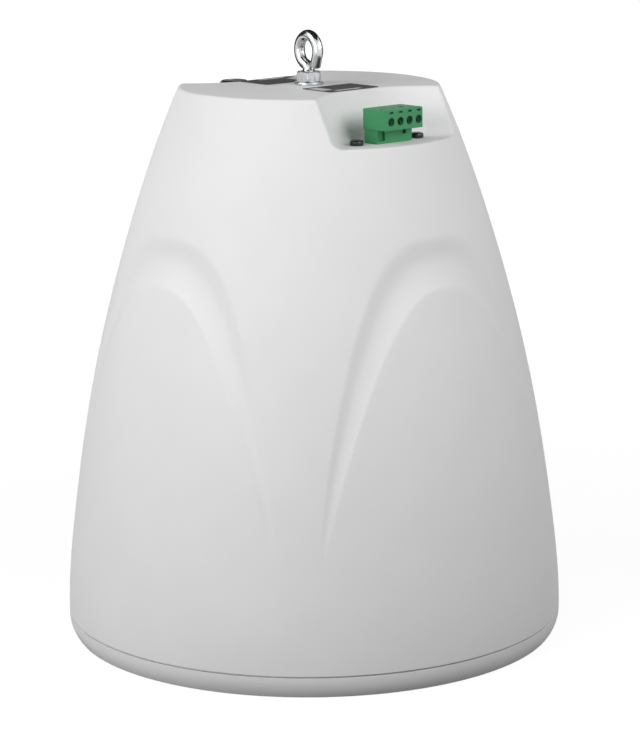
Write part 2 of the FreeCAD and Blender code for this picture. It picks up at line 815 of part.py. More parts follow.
def spider():
    """The corrugated suspension that centres the coil."""
    z = driver_z + frame_shelf_up
    r0 = coil_r + former_t
    r1 = frame_shelf_r - frame_t
    pitch = (r1 - spider_land - r0) / spider_waves
    low = []
    for i in range(2 * spider_waves + 1):
        low.append((r0 + i * pitch / 2, z - paper_t - (spider_depth if i % 2 else 0.0)))
    low.append((r1, z - paper_t))
    high = [(r, h + paper_t) for r, h in reversed(low)]
    return revolve(low + high)


def top_plate():
    return tube(top_plate_r, coil_r + former_t + winding_t + plate_gap, top_plate_z, magnet_z)


def magnet():
    return tube(magnet_r, magnet_bore_r, magnet_z, yoke_z)


def yoke():
    """The back plate and the pole piece, turned from one blank."""
    pole_r = coil_r - pole_gap
    face_z = top_plate_z - pole_proud
    back_z = yoke_z + yoke_t
    return revolve([
        (0, face_z), (pole_r - pole_edge, face_z), (pole_r, face_z + pole_edge), (pole_r, yoke_z),
        (top_plate_r - pole_edge, yoke_z), (top_plate_r, yoke_z + pole_edge), (top_plate_r, back_z),
        (0, back_z)])


def port_tube(at):
    r_out = port_bore_r + port_wall
    pipe = revolve([
        (port_bore_r + port_flare, baffle_z - port_lip_t), (r_out + port_lip, baffle_z - port_lip_t),
        (r_out + port_lip, baffle_z), (r_out, baffle_z), (r_out, baffle_z + port_len),
        (port_bore_r, baffle_z + port_len), (port_bore_r, baffle_z + port_flare_h)])
    pipe.translate(Vector(at.x, at.y, 0))
    return pipe


def transformer_core():
    """Stacked laminations: a frame with two windows round the middle limb."""
    half_w = core_w / 2
    half_t = core_t / 2
    y = transformer_y
    z0 = baffle_top
    block = box(-half_w, half_w, y - half_t, y + half_t, z0, z0 + core_h)
    window_w = (core_w - 4 * core_limb) / 2
    for side in (-1, 1):
        x0 = side * (core_limb + window_w / 2) - window_w / 2
        block = block.cut(box(x0, x0 + window_w, y - half_t - 1, y + half_t + 1,
                              z0 + core_limb, z0 + core_h - core_limb))
    return block


def transformer_winding():
    """The wound bobbin on the middle limb."""
    window_w = (core_w - 4 * core_limb) / 2
    half_w = core_limb + window_w
    half_t = bobbin_t / 2
    y = transformer_y
    z0 = baffle_top + core_limb
    z1 = baffle_top + core_h - core_limb
    coil = box(-half_w, half_w, y - half_t, y + half_t, z0, z1)
    upright = [e for e in coil.Edges if e.BoundBox.ZLength > 1]
    coil = coil.makeFillet(bobbin_edge_r, upright)
    limb = box(-core_limb, core_limb, y - core_t / 2, y + core_t / 2, z0 - 1, z1 + 1)
    return coil.cut(limb)


def transformer_strap():
    """The folded steel strap over the core, with a foot at each side."""
    half_w = core_w / 2
    y = transformer_y
    half_d = core_t / 2
    z0 = baffle_top
    z1 = z0 + core_h
    out = half_w + strap_t
    strap = box(-out, out, y - half_d, y + half_d, z0, z1 + strap_t)
    strap = strap.cut(box(-half_w, half_w, y - half_d - 1, y + half_d + 1, z0 - 1, z1))
    feet = [box(out - NEAR, out + strap_foot, y - half_d, y + half_d, z0, z0 + strap_t),
            box(-out - strap_foot, -out + NEAR, y - half_d, y + half_d, z0, z0 + strap_t)]
    strap = strap.multiFuse(feet)
    return strap.cut([cyl(small_hole_r, z0 - 1, z0 + strap_t + 1, at) for at in baffle_fixings()[:2]])


def transformer_screws():
    z = baffle_top + strap_t
    return Part.makeCompound([small_screw(z, strap_screw_len, at) for at in baffle_fixings()[:2]])


def crossover_board():
    z = baffle_top + board_lift
    board = box(-board_w / 2, board_w / 2, board_y - board_d / 2, board_y + board_d / 2, z, z + board_t)
    return board.cut([cyl(small_hole_r, z - 1, z + board_t + 1, at) for at in baffle_fixings()[2:]])


def board_spacers():
    z1 = baffle_top + board_lift
    places = baffle_fixings()[2:]
    return Part.makeCompound([tube(spacer_r, small_hole_r, baffle_top, z1, at) for at in places])


def board_screws():
    z = baffle_top + board_lift + board_t
    length = board_lift + board_t + board_screw_bite
    return Part.makeCompound([small_screw(z, length, at) for at in baffle_fixings()[2:]])


def crossover_coil():
    z = baffle_top + board_lift + board_t
    return tube(coil_out_r, coil_in_r, z, z + coil_h, Vector(coil_x, board_y, 0))


def crossover_capacitor():
    z = baffle_top + board_lift + board_t + capacitor_r
    start = Vector(capacitor_x, board_y - capacitor_len / 2, z)
    can = Part.makeCylinder(capacitor_r, capacitor_len, start, Vector(0, 1, 0))
    return can.makeFillet(capacitor_edge_r, [e for e in can.Edges if e.BoundBox.YLength < 1e-6])


def lining():
    """Foam pinned behind the bell's wall."""
    inset = bell_wall + arch_depth + lining_gap
    outer = []
    inner = []
    for i in range(lining_steps + 1):
        z = lining_z0 + (lining_z1 - lining_z0) * i / lining_steps
        outer.append((bell_radius(z, inset), z))
        inner.append((bell_radius(z, inset + lining_t), z))
    return revolve(outer + inner[::-1])


def eyebolt():
    """A rod bent to a closed eye, with a rolled thread below."""
    neck_z = eye_z - math.sqrt(eye_r ** 2 + 2 * eye_neck_r * eye_r)
    neck = Vector(-eye_neck_r, 0, neck_z)
    eye = Vector(0, 0, eye_z)
    reach = (eye - neck).normalize()
    meet = neck + reach * eye_neck_r
    meet_deg = math.degrees(math.atan2(meet.z - eye.z, meet.x - eye.x))
    half_bend = math.atan2(meet.z - neck.z, meet.x - neck.x) / 2
    bend_mid = neck + Vector(math.cos(half_bend), 0, math.sin(half_bend)) * eye_neck_r
    start = Vector(0, 0, neck_z)

    def on_eye(deg):
        a = math.radians(deg)
        return eye + Vector(math.cos(a), 0, math.sin(a)) * eye_r

    end_deg = -eye_leave_deg
    start_deg = meet_deg + 360 if meet_deg < 0 else meet_deg
    leave = on_eye(end_deg)
    lean = math.radians(eye_leave_deg)
    tail = leave - Vector(math.sin(lean), 0, math.cos(lean)) * eye_tail_len
    foot = Vector(0, 0, nut_z)
    path = Part.Wire([
        Part.makeLine(foot, start),
        Part.Arc(start, bend_mid, meet).toShape(),
        Part.Arc(meet, on_eye((start_deg + end_deg) / 2), leave).toShape(),
        Part.makeLine(leave, tail)])
    circle = Part.Wire([Part.makeCircle(rod_r, foot, AXIS)])
    rod = path.makePipeShell([circle], True, False)
    end = [e for e in rod.Edges if (e.CenterOfMass - tail).Length < rod_r / 2 and e.BoundBox.YLength > rod_r]
    rod = rod.makeFillet(rod_r * rod_round, end)
    stem = cyl(thread_r, thread_end_z, nut_z + nut_h + thread_proud)
    bolt = rod.fuse(stem)
    bolt.rotate(Vector(0, 0, 0), AXIS, -(90 + eye_turn_deg))
    return bolt


def suspension_plate():
    """The steel plate under the deck that spreads the load of the eyebolt."""
    plate = box(-plate_w / 2, plate_w / 2, -plate_d / 2, plate_d / 2, plate_z, eye_boss_z)
    upright = [e for e in plate.Edges if e.BoundBox.ZLength > 1]
    plate = plate.makeFillet(plate_corner_r, upright)
    return plate.cut(cyl(thread_r + bolt_play, plate_z - 1, eye_boss_z + 1))


def label(side):
    low, high = sorted((side * label_in, side * label_out))
    plate = box(-label_w / 2, label_w / 2, low, high, deck_z, deck_z + label_t)
    upright = [e for e in plate.Edges if e.BoundBox.ZLength > label_t / 2]
    return plate.makeFillet(label_corner_r, upright)


def pole_places():
    first = plug_shift - pole_pitch * (pole_count - 1) / 2
    return [first + i * pole_pitch for i in range(pole_count)]


def header_space(grow):
    """The inside of the header's shroud. grow is taken off each side."""
    half = header_w / 2 - header_wall - grow
    return (-half, half, header_y0 + header_wall + grow, plug_y1 - header_wall - grow)


def terminal_header():
    """The shroud on the terminal board, open at the top, with two keyways in its front."""
    half = header_w / 2
    body = box(-half, half, header_y0, plug_y1, board_top, plug_z0)
    x0, x1, y0, y1 = header_space(0)
    body = body.cut(box(x0, x1, y0, y1, plug_z0 - tongue_h - tongue_gap, plug_z0 + 1))
    near, far, up = keyway_left
    body = body.cut(box(near - half, far - half, header_y0 - 1, y0 + NEAR, pocket_floor_z + up, plug_z0 + 1))
    near, far, up = keyway_right
    body = body.cut(box(half - far, half - near, header_y0 - 1, y0 + NEAR, pocket_floor_z + up, plug_z0 + 1))
    pins = [cyl(pin_r, board_top - 1, plug_z1, Vector(x, header_mid_y, 0)) for x in pole_places()]
    return body.cut(pins)


def header_pins():
    z0 = board_top - terminal_board_gap
    z1 = z0 + pin_len
    return Part.makeCompound([cyl(pin_r, z0, z1, Vector(x, header_mid_y, 0)) for x in pole_places()])


def terminal_plug():
    """The pluggable screw block: body, tongue and one wire hole and clamp space for each pole."""
    half = plug_w / 2
    body = box(-half, half, plug_y0, plug_y1, plug_z0, plug_z1)
    top_front = [e for e in body.Edges if e.BoundBox.XLength > 1 and e.BoundBox.ZMin > plug_z1 - NEAR
                 and e.BoundBox.YMax < plug_y0 + NEAR]
    body = body.makeChamfer(plug_edge, top_front)
    x0, x1, y0, y1 = header_space(tongue_play)
    tongue = box(x0, x1, y0, y1, plug_z0 - tongue_h, plug_z0 + 1)
    body = body.fuse(tongue)
    cuts = []
    for x in pole_places():
        z = plug_z0 + wire_hole_z
        start = Vector(x, plug_y0 - 1, z)
        cuts.append(Part.makeCylinder(wire_hole_r, wire_hole_wall + 2, start, Vector(0, 1, 0)))
        cuts.append(box(x - clamp_w / 2, x + clamp_w / 2, clamp_y0, plug_y0 + wire_hole_deep,
                        z - clamp_h / 2, z + clamp_h / 2))
        cuts.append(cyl(clamp_screw_r + screw_play, z, plug_z1 + 1, Vector(x, clamp_screw_y, 0)))
        mark_z = plug_z1 - mark_down
        mark_x = x - mark_w / 2
        cuts.append(box(mark_x, mark_x + mark_w, plug_y0 - 1, plug_y0 + mark_deep, mark_z, mark_z + mark_h))
        socket_top = board_top - terminal_board_gap + pin_len + pin_play
        at = Vector(x, header_mid_y, 0)
        cuts.append(cyl(pin_r + pin_play, plug_z0 - tongue_h - 1, socket_top, at))
    return body.cut(cuts)


def plug_clamps():
    """The metal cages that grip the wires."""
    cages = []
    for x in pole_places():
        z = plug_z0 + wire_hole_z
        y0 = clamp_y0 + clamp_in
        y1 = plug_y0 + wire_hole_deep
        cage = box(x - clamp_w / 2, x + clamp_w / 2, y0, y1, z - clamp_h / 2, z + clamp_h / 2)
        half = clamp_w / 2 - clamp_floor
        throat = box(x - half, x + half, y0 - 1, y1 - clamp_floor,
                     z - clamp_h / 2 + clamp_floor, z + clamp_h / 2 - clamp_roof)
        bore = cyl(clamp_screw_r, z, z + clamp_h, Vector(x, clamp_screw_y, 0))
        cages.append(cage.cut([throat, bore]))
    return Part.makeCompound(cages)


def plug_screws():
    screws = []
    for x in pole_places():
        top = plug_z1 - clamp_screw_down
        at = Vector(x, clamp_screw_y, 0)
        low = plug_z0 + wire_hole_z + clamp_floor
        screw = cyl(clamp_screw_r, low, top, at)
        half = clamp_slot_w / 2
        x0, x1 = x - clamp_screw_r, x + clamp_screw_r
        slot = box(x0, x1, at.y - half, at.y + half, top - clamp_slot_h, top + 1)
        screws.append(screw.cut(slot))
    return Part.makeCompound(screws)


def terminal_board():
    half = terminal_board_w / 2
    y0 = terminal_screw_y - terminal_board_d / 2
    z0 = board_top - terminal_board_gap
    board = box(-half, half, y0, y0 + terminal_board_d, z0, board_top)
    holes = [cyl(terminal_screw_r, z0 - 1, board_top + 1, Vector(x, terminal_screw_y, 0))
             for x in (-terminal_screw_x, terminal_screw_x)]
    holes += [cyl(pin_r, z0 - 1, board_top + 1, Vector(x, header_mid_y, 0)) for x in pole_places()]
    return board.cut(holes)


def terminal_screws():
    return Part.makeCompound([
        pan_screw(terminal_head_r, terminal_head_h, terminal_screw_r, pocket_floor_z, terminal_screw_len,
                  Vector(x, terminal_screw_y, 0), up=False)
        for x in (-terminal_screw_x, terminal_screw_x)])


def tap_switch():
    """The rotary switch under the pocket floor, with its bush through the floor."""
    at = Vector(0, knob_y, 0)
    body = cyl(switch_r, pocket_under - switch_h, pocket_under, at)
    bush = cyl(bush_r - bush_play, pocket_under - 1, pocket_floor_z + switch_nut_h, at)
    return body.fuse(bush).cut(cyl(shaft_r + shaft_play, shaft_z0, knob_z, at))


def switch_nut():
    at = Vector(0, knob_y, 0)
    return hex_nut(switch_nut_across, bush_r, pocket_floor_z, pocket_floor_z + switch_nut_h, at)


def switch_shaft():
    at = Vector(0, knob_y, 0)
    return cyl(shaft_r, shaft_z0 + shaft_end_play, knob_top_z - shaft_cover, at)


def tap_knob():
    """The fluted knob, domed at its top edge."""
    at = Vector(0, knob_y, 0)
    knob = cyl(knob_r, knob_z, knob_top_z, at)
    top = [e for e in knob.Edges if abs(e.BoundBox.ZMin - knob_top_z) < 1e-6 and e.BoundBox.ZLength < 1e-6]
    knob = knob.makeFillet(knob_edge_r, top)
    flute_z = knob_top_z - flute_down
    flutes = [cyl(flute_r, knob_z - 1, flute_z, at + p) for p in ring_places(flute_count, knob_r)]
    bore = cyl(shaft_r, knob_z - 1, knob_top_z - shaft_cover, at)
    return knob.cut(flutes + [knob_pointer(), bore])


def knob_pointer():
    y0, y1 = knob_y + pointer_in, knob_y + knob_r - pointer_out
    return box(-pointer_w / 2, pointer_w / 2, y0, y1, knob_top_z - pointer_t, knob_top_z)


parts["bell_shell"] = bell_shell()
parts["trim_ring"] = trim_ring()
parts["grille"] = grille()
parts["grille_cloth"] = grille_cloth()
parts["baffle"] = baffle()
parts["baffle_gasket"] = baffle_gasket()
parts["baffle_screws"] = baffle_screws()
parts["driver_frame"] = driver_frame()
parts["driver_gasket"] = driver_gasket()
parts["driver_screws"] = driver_screws()
parts["driver_surround"] = surround()
parts["driver_cone"] = cone()
parts["dust_cap"] = dust_cap()
parts["coil_former"] = former()
parts["voice_coil"] = winding()
parts["driver_spider"] = spider()
parts["top_plate"] = top_plate()
parts["magnet"] = magnet()
parts["yoke"] = yoke()
for number, place in enumerate(ring_places(port_count, port_centre_r), 1):
    parts["port_tube_%d" % number] = port_tube(place)
parts["transformer_core"] = transformer_core()
parts["transformer_winding"] = transformer_winding()
parts["transformer_strap"] = transformer_strap()
parts["transformer_screws"] = transformer_screws()
parts["crossover_board"] = crossover_board()
parts["board_spacers"] = board_spacers()
parts["board_screws"] = board_screws()
parts["crossover_coil"] = crossover_coil()
parts["crossover_capacitor"] = crossover_capacitor()
parts["foam_lining"] = lining()
parts["eyebolt"] = eyebolt()
parts["lock_nut"] = hex_nut(nut_across, thread_r, nut_z, nut_z + nut_h, turn=nut_turn_deg)
parts["washer"] = tube(washer_r, thread_r + bolt_play, washer_z, nut_z)
parts["suspension_plate"] = suspension_plate()
parts["inner_nut"] = hex_nut(nut_across, thread_r, plate_z - nut_h, plate_z)
parts["front_label"] = label(-1)
parts["rear_label"] = label(1)
parts["terminal_board"] = terminal_board()
parts["terminal_header"] = terminal_header()
parts["header_pins"] = header_pins()
parts["terminal_plug"] = terminal_plug()
parts["plug_clamps"] = plug_clamps()
parts["plug_screws"] = plug_screws()
parts["terminal_screws"] = terminal_screws()
parts["tap_switch"] = tap_switch()
parts["switch_nut"] = switch_nut()
parts["switch_shaft"] = switch_shaft()
parts["tap_knob"] = tap_knob()
parts["knob_pointer"] = knob_pointer()

os.makedirs("parts", exist_ok=True)
for name, shape in parts.items():
    shape.exportStep("parts/%s.step" % name)
    print(name, len(shape.Solids), round(shape.Volume, 1), shape.isValid())
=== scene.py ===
import json
import math

import bpy
import numpy as np
from bpy.props import FloatProperty, FloatVectorProperty, IntProperty, PointerProperty
from mathutils import Matrix, Vector


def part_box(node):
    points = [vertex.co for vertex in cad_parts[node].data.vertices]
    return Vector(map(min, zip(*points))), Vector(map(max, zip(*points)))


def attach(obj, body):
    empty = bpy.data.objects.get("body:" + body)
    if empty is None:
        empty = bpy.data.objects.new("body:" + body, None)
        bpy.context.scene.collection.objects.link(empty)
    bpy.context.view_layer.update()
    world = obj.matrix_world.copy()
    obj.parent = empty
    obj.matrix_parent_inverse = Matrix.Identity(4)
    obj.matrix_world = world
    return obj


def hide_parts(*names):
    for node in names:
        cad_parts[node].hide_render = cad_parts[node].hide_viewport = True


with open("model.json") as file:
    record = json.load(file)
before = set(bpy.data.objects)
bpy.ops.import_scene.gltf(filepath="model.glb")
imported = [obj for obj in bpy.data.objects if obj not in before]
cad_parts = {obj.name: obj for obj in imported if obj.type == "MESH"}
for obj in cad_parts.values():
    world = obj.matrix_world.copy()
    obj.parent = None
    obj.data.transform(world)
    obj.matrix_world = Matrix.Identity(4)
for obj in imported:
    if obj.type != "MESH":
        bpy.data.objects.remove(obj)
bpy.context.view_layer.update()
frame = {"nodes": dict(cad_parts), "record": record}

bl_info = {
    "name": "Pendant speaker",
    "version": (1, 0, 0),
    "blender": (4, 5, 0),
    "location": "View3D > Sidebar > Pendant speaker",
    "description": "Dresses the packed pendant speaker and sets up its studio",
    "category": "Object",
}

MM = 0.001

# The photograph's frame and the camera that was fitted to the speaker's edges.
FRAME_HEIGHT_PX = 749
FOCAL_PX = 2777.0
SENSOR_MM = 36.0
VIEW_TURN = -41.5        # degrees from the terminal pocket's side
CAMERA_BACK = 1.146413   # metres from the speaker's axis
CAMERA_UP = 0.361049
CAMERA_YAW = 0.00295     # radians
CAMERA_PITCH = 0.21709
CAMERA_ROLL = -0.00998

# The studio. The floor's glow rises to full white between the two distances of GLOW_REACH.
FLOOR_HALF = 20.0
FLOOR_LEVEL = (0.42, 0.42, 0.42)
FLOOR_GLOW = 0.88
GLOW_REACH = (0.25, 1.2)
WORLD_LEVEL = 0.1

# The lamps: name, bearing, rise, distance, size and power. They all point at LAMP_AIM.
LAMP_AIM = (0, 0, 0.17)
LAMPS = (
    ("left_high", -75.0, 35.0, 0.7, 0.4, 1.7),
    ("left_front", -40.0, 15.0, 0.8, 0.5, 2.85),
    ("right_front", 45.0, 28.0, 0.6, 0.35, 1.6),
    ("right_side", 85.0, 30.0, 0.7, 0.4, 0.6),
    ("back_left", -150.0, 12.0, 1.1, 0.6, 1.2),
    ("back_right", 150.0, 12.0, 1.1, 0.6, 1.2),
)

# Dark cards behind the speaker, seen only in gloss: name, bearing, distance, width, height and
# tilt. A tilted card hangs from HANGING_Z and leans over the speaker.
CARD_LEVEL = (0.05, 0.05, 0.05)
HANGING_Z = 0.5
CARDS = (
    ("left_card", -132.0, 0.75, 0.75, 0.9, 0.0),
    ("right_card", 132.0, 0.75, 0.75, 0.9, 0.0),
    ("high_card", 180.0, 1.25, 0.9, 1.9, -72.0),
)

# The labels' light fields in millimetres: x from, to, y from, to.
PRINTED_FIELDS = (
    (-12.8, -7.2, -23.0, -13.5),
    (-8.6, 5.0, -27.2, -24.6),
    (7.2, 12.8, 13.5, 23.0),
    (-5.0, 8.6, 24.6, 27.2),
)

# The bell's outline: share of the height, then the flare that is left there.
FLARE = ((0.0, 1.0), (0.18, 0.937), (0.45, 0.746), (0.72, 0.444), (1.0, 0.0))
TOP_SLOPE = -0.4453

# How the bell's mesh lines are found and spread, in millimetres.
PIVOT_Z = 150.0
FAR_R = 260.0
RAYS = 420
MARCH_STEPS = 70
MARCH_SHARE = 0.85
SETTLE_STEPS = 4
SMOOTH_OVER = 7
OUTSIDE_BEND = 6.0
INSIDE_BEND = 8.0
INSIDE_SHARE = 6         # points outside for each one inside
INSIDE_FOOT = 0.8
LAND_EDGE = 0.3
INNER_WIDENING = 0.6     # of the wall, at each side of a pocket's floor
NORMAL_STEP = 0.02
SLOPE_STEP = 0.01
LEAST_SLOPE_SQUARED = 0.05

# Degrees of a quarter turn from, to, and the share of the turn step between mesh lines there.
LINE_SPANS = ((0, 20, 1.0), (20, 41, 0.45), (41, 49, 1.0), (49, 70, 0.5), (70, 90, 1.0))

# Mesh steps along the eyebolt's rod and round the suspension pieces.
STRAIGHT_STEPS = 4
NECK_STEPS = 10
EYE_STEPS = 72
TIP_STEPS = 6
TIP_SHARE = 0.45         # of the rod's radius
ROD_AROUND = 40
THREAD_AROUND = 48
THREAD_STEPS = 10        # in one turn
THREAD_DEPTH = 0.55      # of the pitch
FLANK_STEEPNESS = 1.25
RUN_OUT_RATE = 1.4       # of the depth, in one turn
NUT_AROUND = 144
WASHER_AROUND = 96
WASHER_EDGE_STEPS = 4

# The nut's turned corners, as shares of half its size across the flats, and their slope.
CORNER_REACH = 1.147
CHAMFER_START = 0.985
CHAMFER_DEG = 30.0
FACE_SHARE = 0.96

# Shared by the finishes: the noise and the part of its range that is used, the moulded grain,
# the waves that a wave texture of scale 1 makes, and the colour sockets of a mix node.
NOISE_ROUGHNESS = 0.55
NOISE_SPAN = (0.3, 0.7)
GRAIN_STRENGTH = 0.25
GRAIN_DEPTH = 0.05 * MM
WAVES_PER_SCALE = 3.0
MIX_A, MIX_B, MIX_RESULT = 6, 7, 2


class BellSizes(bpy.types.PropertyGroup):
    """Sizes of the moulded bell."""
    wide_r: FloatProperty(
        name="Widest radius", description="Radius of the bell at its widest place",
        default=104.8 * MM, unit="LENGTH")
    wide_z: FloatProperty(
        name="Widest height", description="Height of the widest place",
        default=10.0 * MM, unit="LENGTH")
    base_z: FloatProperty(
        name="Base height", description="Height of the bell's lower edge, over the seam",
        default=9.2 * MM, unit="LENGTH")
    deck_z: FloatProperty(
        name="Deck height", description="Height of the flat top",
        default=231.0 * MM, unit="LENGTH")
    deck_r: FloatProperty(
        name="Deck radius", description="Radius of the flat top",
        default=54.0 * MM, unit="LENGTH")
    wall: FloatProperty(
        name="Wall", description="Thickness of the moulding",
        default=3.0 * MM, unit="LENGTH")
    edge_r: FloatProperty(
        name="Edge rounding", description="Rounding of the deck's edge and the pockets' rims",
        default=0.9 * MM, unit="LENGTH")
    bore_r: FloatProperty(
        name="Eyebolt bore", description="Radius of the hole for the eyebolt",
        default=3.2 * MM, unit="LENGTH")
    turn_step: FloatProperty(
        name="Turn step", description="Angle between mesh lines away from the flutes' legs",
        default=math.radians(1.0), subtype="ANGLE")
    rows: IntProperty(
        name="Points down", description="Mesh points along each line outside",
        default=144, min=40)


class FluteSizes(bpy.types.PropertyGroup):
    """Sizes of the four crescent flutes."""
    depth: FloatProperty(
        name="Depth", description="Depth of a flute at its crown",
        default=2.6 * MM, unit="LENGTH")
    crown_z: FloatProperty(
        name="Crown height", description="Height of the outer line at the crown",
        default=176.6 * MM, unit="LENGTH")
    foot_z: FloatProperty(
        name="Foot height", description="Height at which the outer line's legs run out",
        default=54.0 * MM, unit="LENGTH")
    leg: FloatProperty(
        name="Leg angle", description="Angle from the crown to the outer line's legs",
        default=math.radians(40.2), subtype="ANGLE")
    outer_round: FloatProperty(
        name="Outer roundness", description="Power of the angle in the outer line",
        default=3.2)
    outer_fall: FloatProperty(
        name="Outer fall", description="Power of the height in the outer line",
        default=1.449)
    sill_z: FloatProperty(
        name="Sill height", description="Height of the inner line at the crown",
        default=156.4 * MM, unit="LENGTH")
    sill_foot_z: FloatProperty(
        name="Sill foot height", description="Height at which the inner line's legs run out",
        default=52.0 * MM, unit="LENGTH")
    sill_leg: FloatProperty(
        name="Sill leg angle", description="Angle from the crown to the inner line's legs",
        default=math.radians(39.3), subtype="ANGLE")
    inner_round: FloatProperty(
        name="Inner roundness", description="Power of the angle in the inner line",
        default=2.35)
    inner_fall: FloatProperty(
        name="Inner fall", description="Power of the height in the inner line",
        default=1.149)
    wall_share: FloatProperty(
        name="Wall share", description="Share of the flute's width that its soft wall takes",
        default=0.54, min=0.05, max=0.95)
    wall_lead: FloatProperty(
        name="Wall lead", description="Share of the wall's drop that starts at its edge",
        default=0.12, min=0.0, max=1.0)
    edge_share: FloatProperty(
        name="Edge softness",
        description="Share of the width over which the wall's edge is rounded",
        default=0.2, min=0.01, max=0.5)
    ridge_soft: FloatProperty(
        name="Ridge softness", description="How much the ridge at the inner line is rounded",
        default=0.12, min=0.01, max=0.5)
    run_out: FloatProperty(
        name="Run out", description="Power with which the depth falls towards the foot",
        default=1.0)


class PocketSizes(bpy.types.PropertyGroup):
    """Sizes of the terminal pocket and the tap switch pocket."""
    floor_z: FloatProperty(
        name="Floor height", description="Height of the pocket's floor",
        default=211.7 * MM, unit="LENGTH")
    back: FloatProperty(
        name="Back", description="Back wall from the axis, at the deck",
        default=29.0 * MM, unit="LENGTH")
    half: FloatProperty(
        name="Half width", description="Half the back wall's length, at the deck",
        default=20.0 * MM, unit="LENGTH")
    floor_back: FloatProperty(
        name="Back at the floor", description="Back wall from the axis, at the floor",
        default=33.0 * MM, unit="LENGTH")
    floor_half: FloatProperty(
        name="Half width at the floor", description="Half the back wall's length, at the floor",
        default=13.5 * MM, unit="LENGTH")
    flare: FloatProperty(
        name="Flare", description="Angle of the side walls from the pocket's own axis",
        default=math.radians(45.5), subtype="ANGLE")
    corner_r: FloatProperty(
        name="Corner rounding", description="Rounding between the back and side walls",
        default=8.0 * MM, unit="LENGTH")
    floor_r: FloatProperty(
        name="Floor rounding", description="Rounding between the walls and the floor",
        default=3.5 * MM, unit="LENGTH")


class SuspensionSizes(bpy.types.PropertyGroup):
    """Sizes of the eyebolt, its nut and its washer."""
    rod_r: FloatProperty(
        name="Rod radius", description="Radius of the bent rod",
        default=2.3 * MM, unit="LENGTH")
    eye_r: FloatProperty(
        name="Eye radius", description="Radius of the eye's centre line",
        default=6.2 * MM, unit="LENGTH")
    neck_r: FloatProperty(
        name="Neck radius", description="Radius of the bend under the eye",
        default=3.0 * MM, unit="LENGTH")
    top_z: FloatProperty(
        name="Top height", description="Height of the eye's top",
        default=253.6 * MM, unit="LENGTH")
    leave: FloatProperty(
        name="Leaving angle",
        description="Angle below level at which the free end leaves the circle",
        default=math.radians(18.0), subtype="ANGLE")
    tail: FloatProperty(
        name="Tail", description="Straight length of the free end",
        default=5.2 * MM, unit="LENGTH")
    turn: FloatProperty(
        name="Turn", description="Turn of the eye round the speaker's axis",
        default=math.radians(-94.5), subtype="ANGLE")
    thread_r: FloatProperty(
        name="Thread radius", description="Outside radius of the thread",
        default=3.0 * MM, unit="LENGTH")
    pitch: FloatProperty(
        name="Thread pitch", description="Rise of the thread in one turn",
        default=1.0 * MM, unit="LENGTH")
    thread_low_z: FloatProperty(
        name="Thread end", description="Height of the thread's lower end",
        default=208.0 * MM, unit="LENGTH")
    thread_proud: FloatProperty(
        name="Proud thread", description="Thread that stands over the nut",
        default=0.8 * MM, unit="LENGTH")
    across: FloatProperty(
        name="Nut size", description="Nut across its flats",
        default=9.4 * MM, unit="LENGTH")
    nut_h: FloatProperty(
        name="Nut height", description="Height of the nut",
        default=4.4 * MM, unit="LENGTH")
    nut_turn: FloatProperty(
        name="Nut turn", description="Angle of one of the nut's corners",
        default=math.radians(42.0), subtype="ANGLE")
    washer_r: FloatProperty(
        name="Washer radius", description="Outside radius of the washer",
        default=6.0 * MM, unit="LENGTH")
    washer_t: FloatProperty(
        name="Washer thickness", description="Thickness of the washer",
        default=1.2 * MM, unit="LENGTH")


class SpeakerColours(bpy.types.PropertyGroup):
    """Colours of the finishes that show."""
    bell: FloatVectorProperty(
        name="Bell", description="Colour of the moulded bell", subtype="COLOR", size=3,
        default=(0.839, 0.839, 0.839), min=0.0, max=1.0)
    trim: FloatVectorProperty(
        name="Trim", description="Colour of the trim ring and the grille", subtype="COLOR", size=3,
        default=(0.81, 0.81, 0.81), min=0.0, max=1.0)
    terminal: FloatVectorProperty(
        name="Terminal block", description="Colour of the terminal block", subtype="COLOR", size=3,
        default=(0.031, 0.262, 0.094), min=0.0, max=1.0)
    label: FloatVectorProperty(
        name="Label", description="Colour of the label film", subtype="COLOR", size=3,
        default=(0.069, 0.069, 0.071), min=0.0, max=1.0)
    screw: FloatVectorProperty(
        name="Black screws", description="Colour of the screws beside the terminal block",
        subtype="COLOR", size=3,
        default=(0.009, 0.009, 0.0095), min=0.0, max=1.0)


class SpeakerSizes(bpy.types.PropertyGroup):
    """All sizes and colours that the panel shows."""
    bell: PointerProperty(type=BellSizes)
    flute: PointerProperty(type=FluteSizes)
    pocket: PointerProperty(type=PocketSizes)
    suspension: PointerProperty(type=SuspensionSizes)
    colours: PointerProperty(type=SpeakerColours)


def shade(level):
    """The linear value of a display value from 0 to 1."""
    return level / 12.92 if level <= 0.04045 else ((level + 0.055) / 1.055) ** 2.4


def paint(*levels):
    return tuple(shade(level) for level in levels)


def times(color, share):
    """A colour made lighter or darker, up to white."""
    return tuple(min(c * share, 1.0) for c in color)


def set_inputs(node, values):
    for socket, value in values.items():
        node.inputs[socket].default_value = value


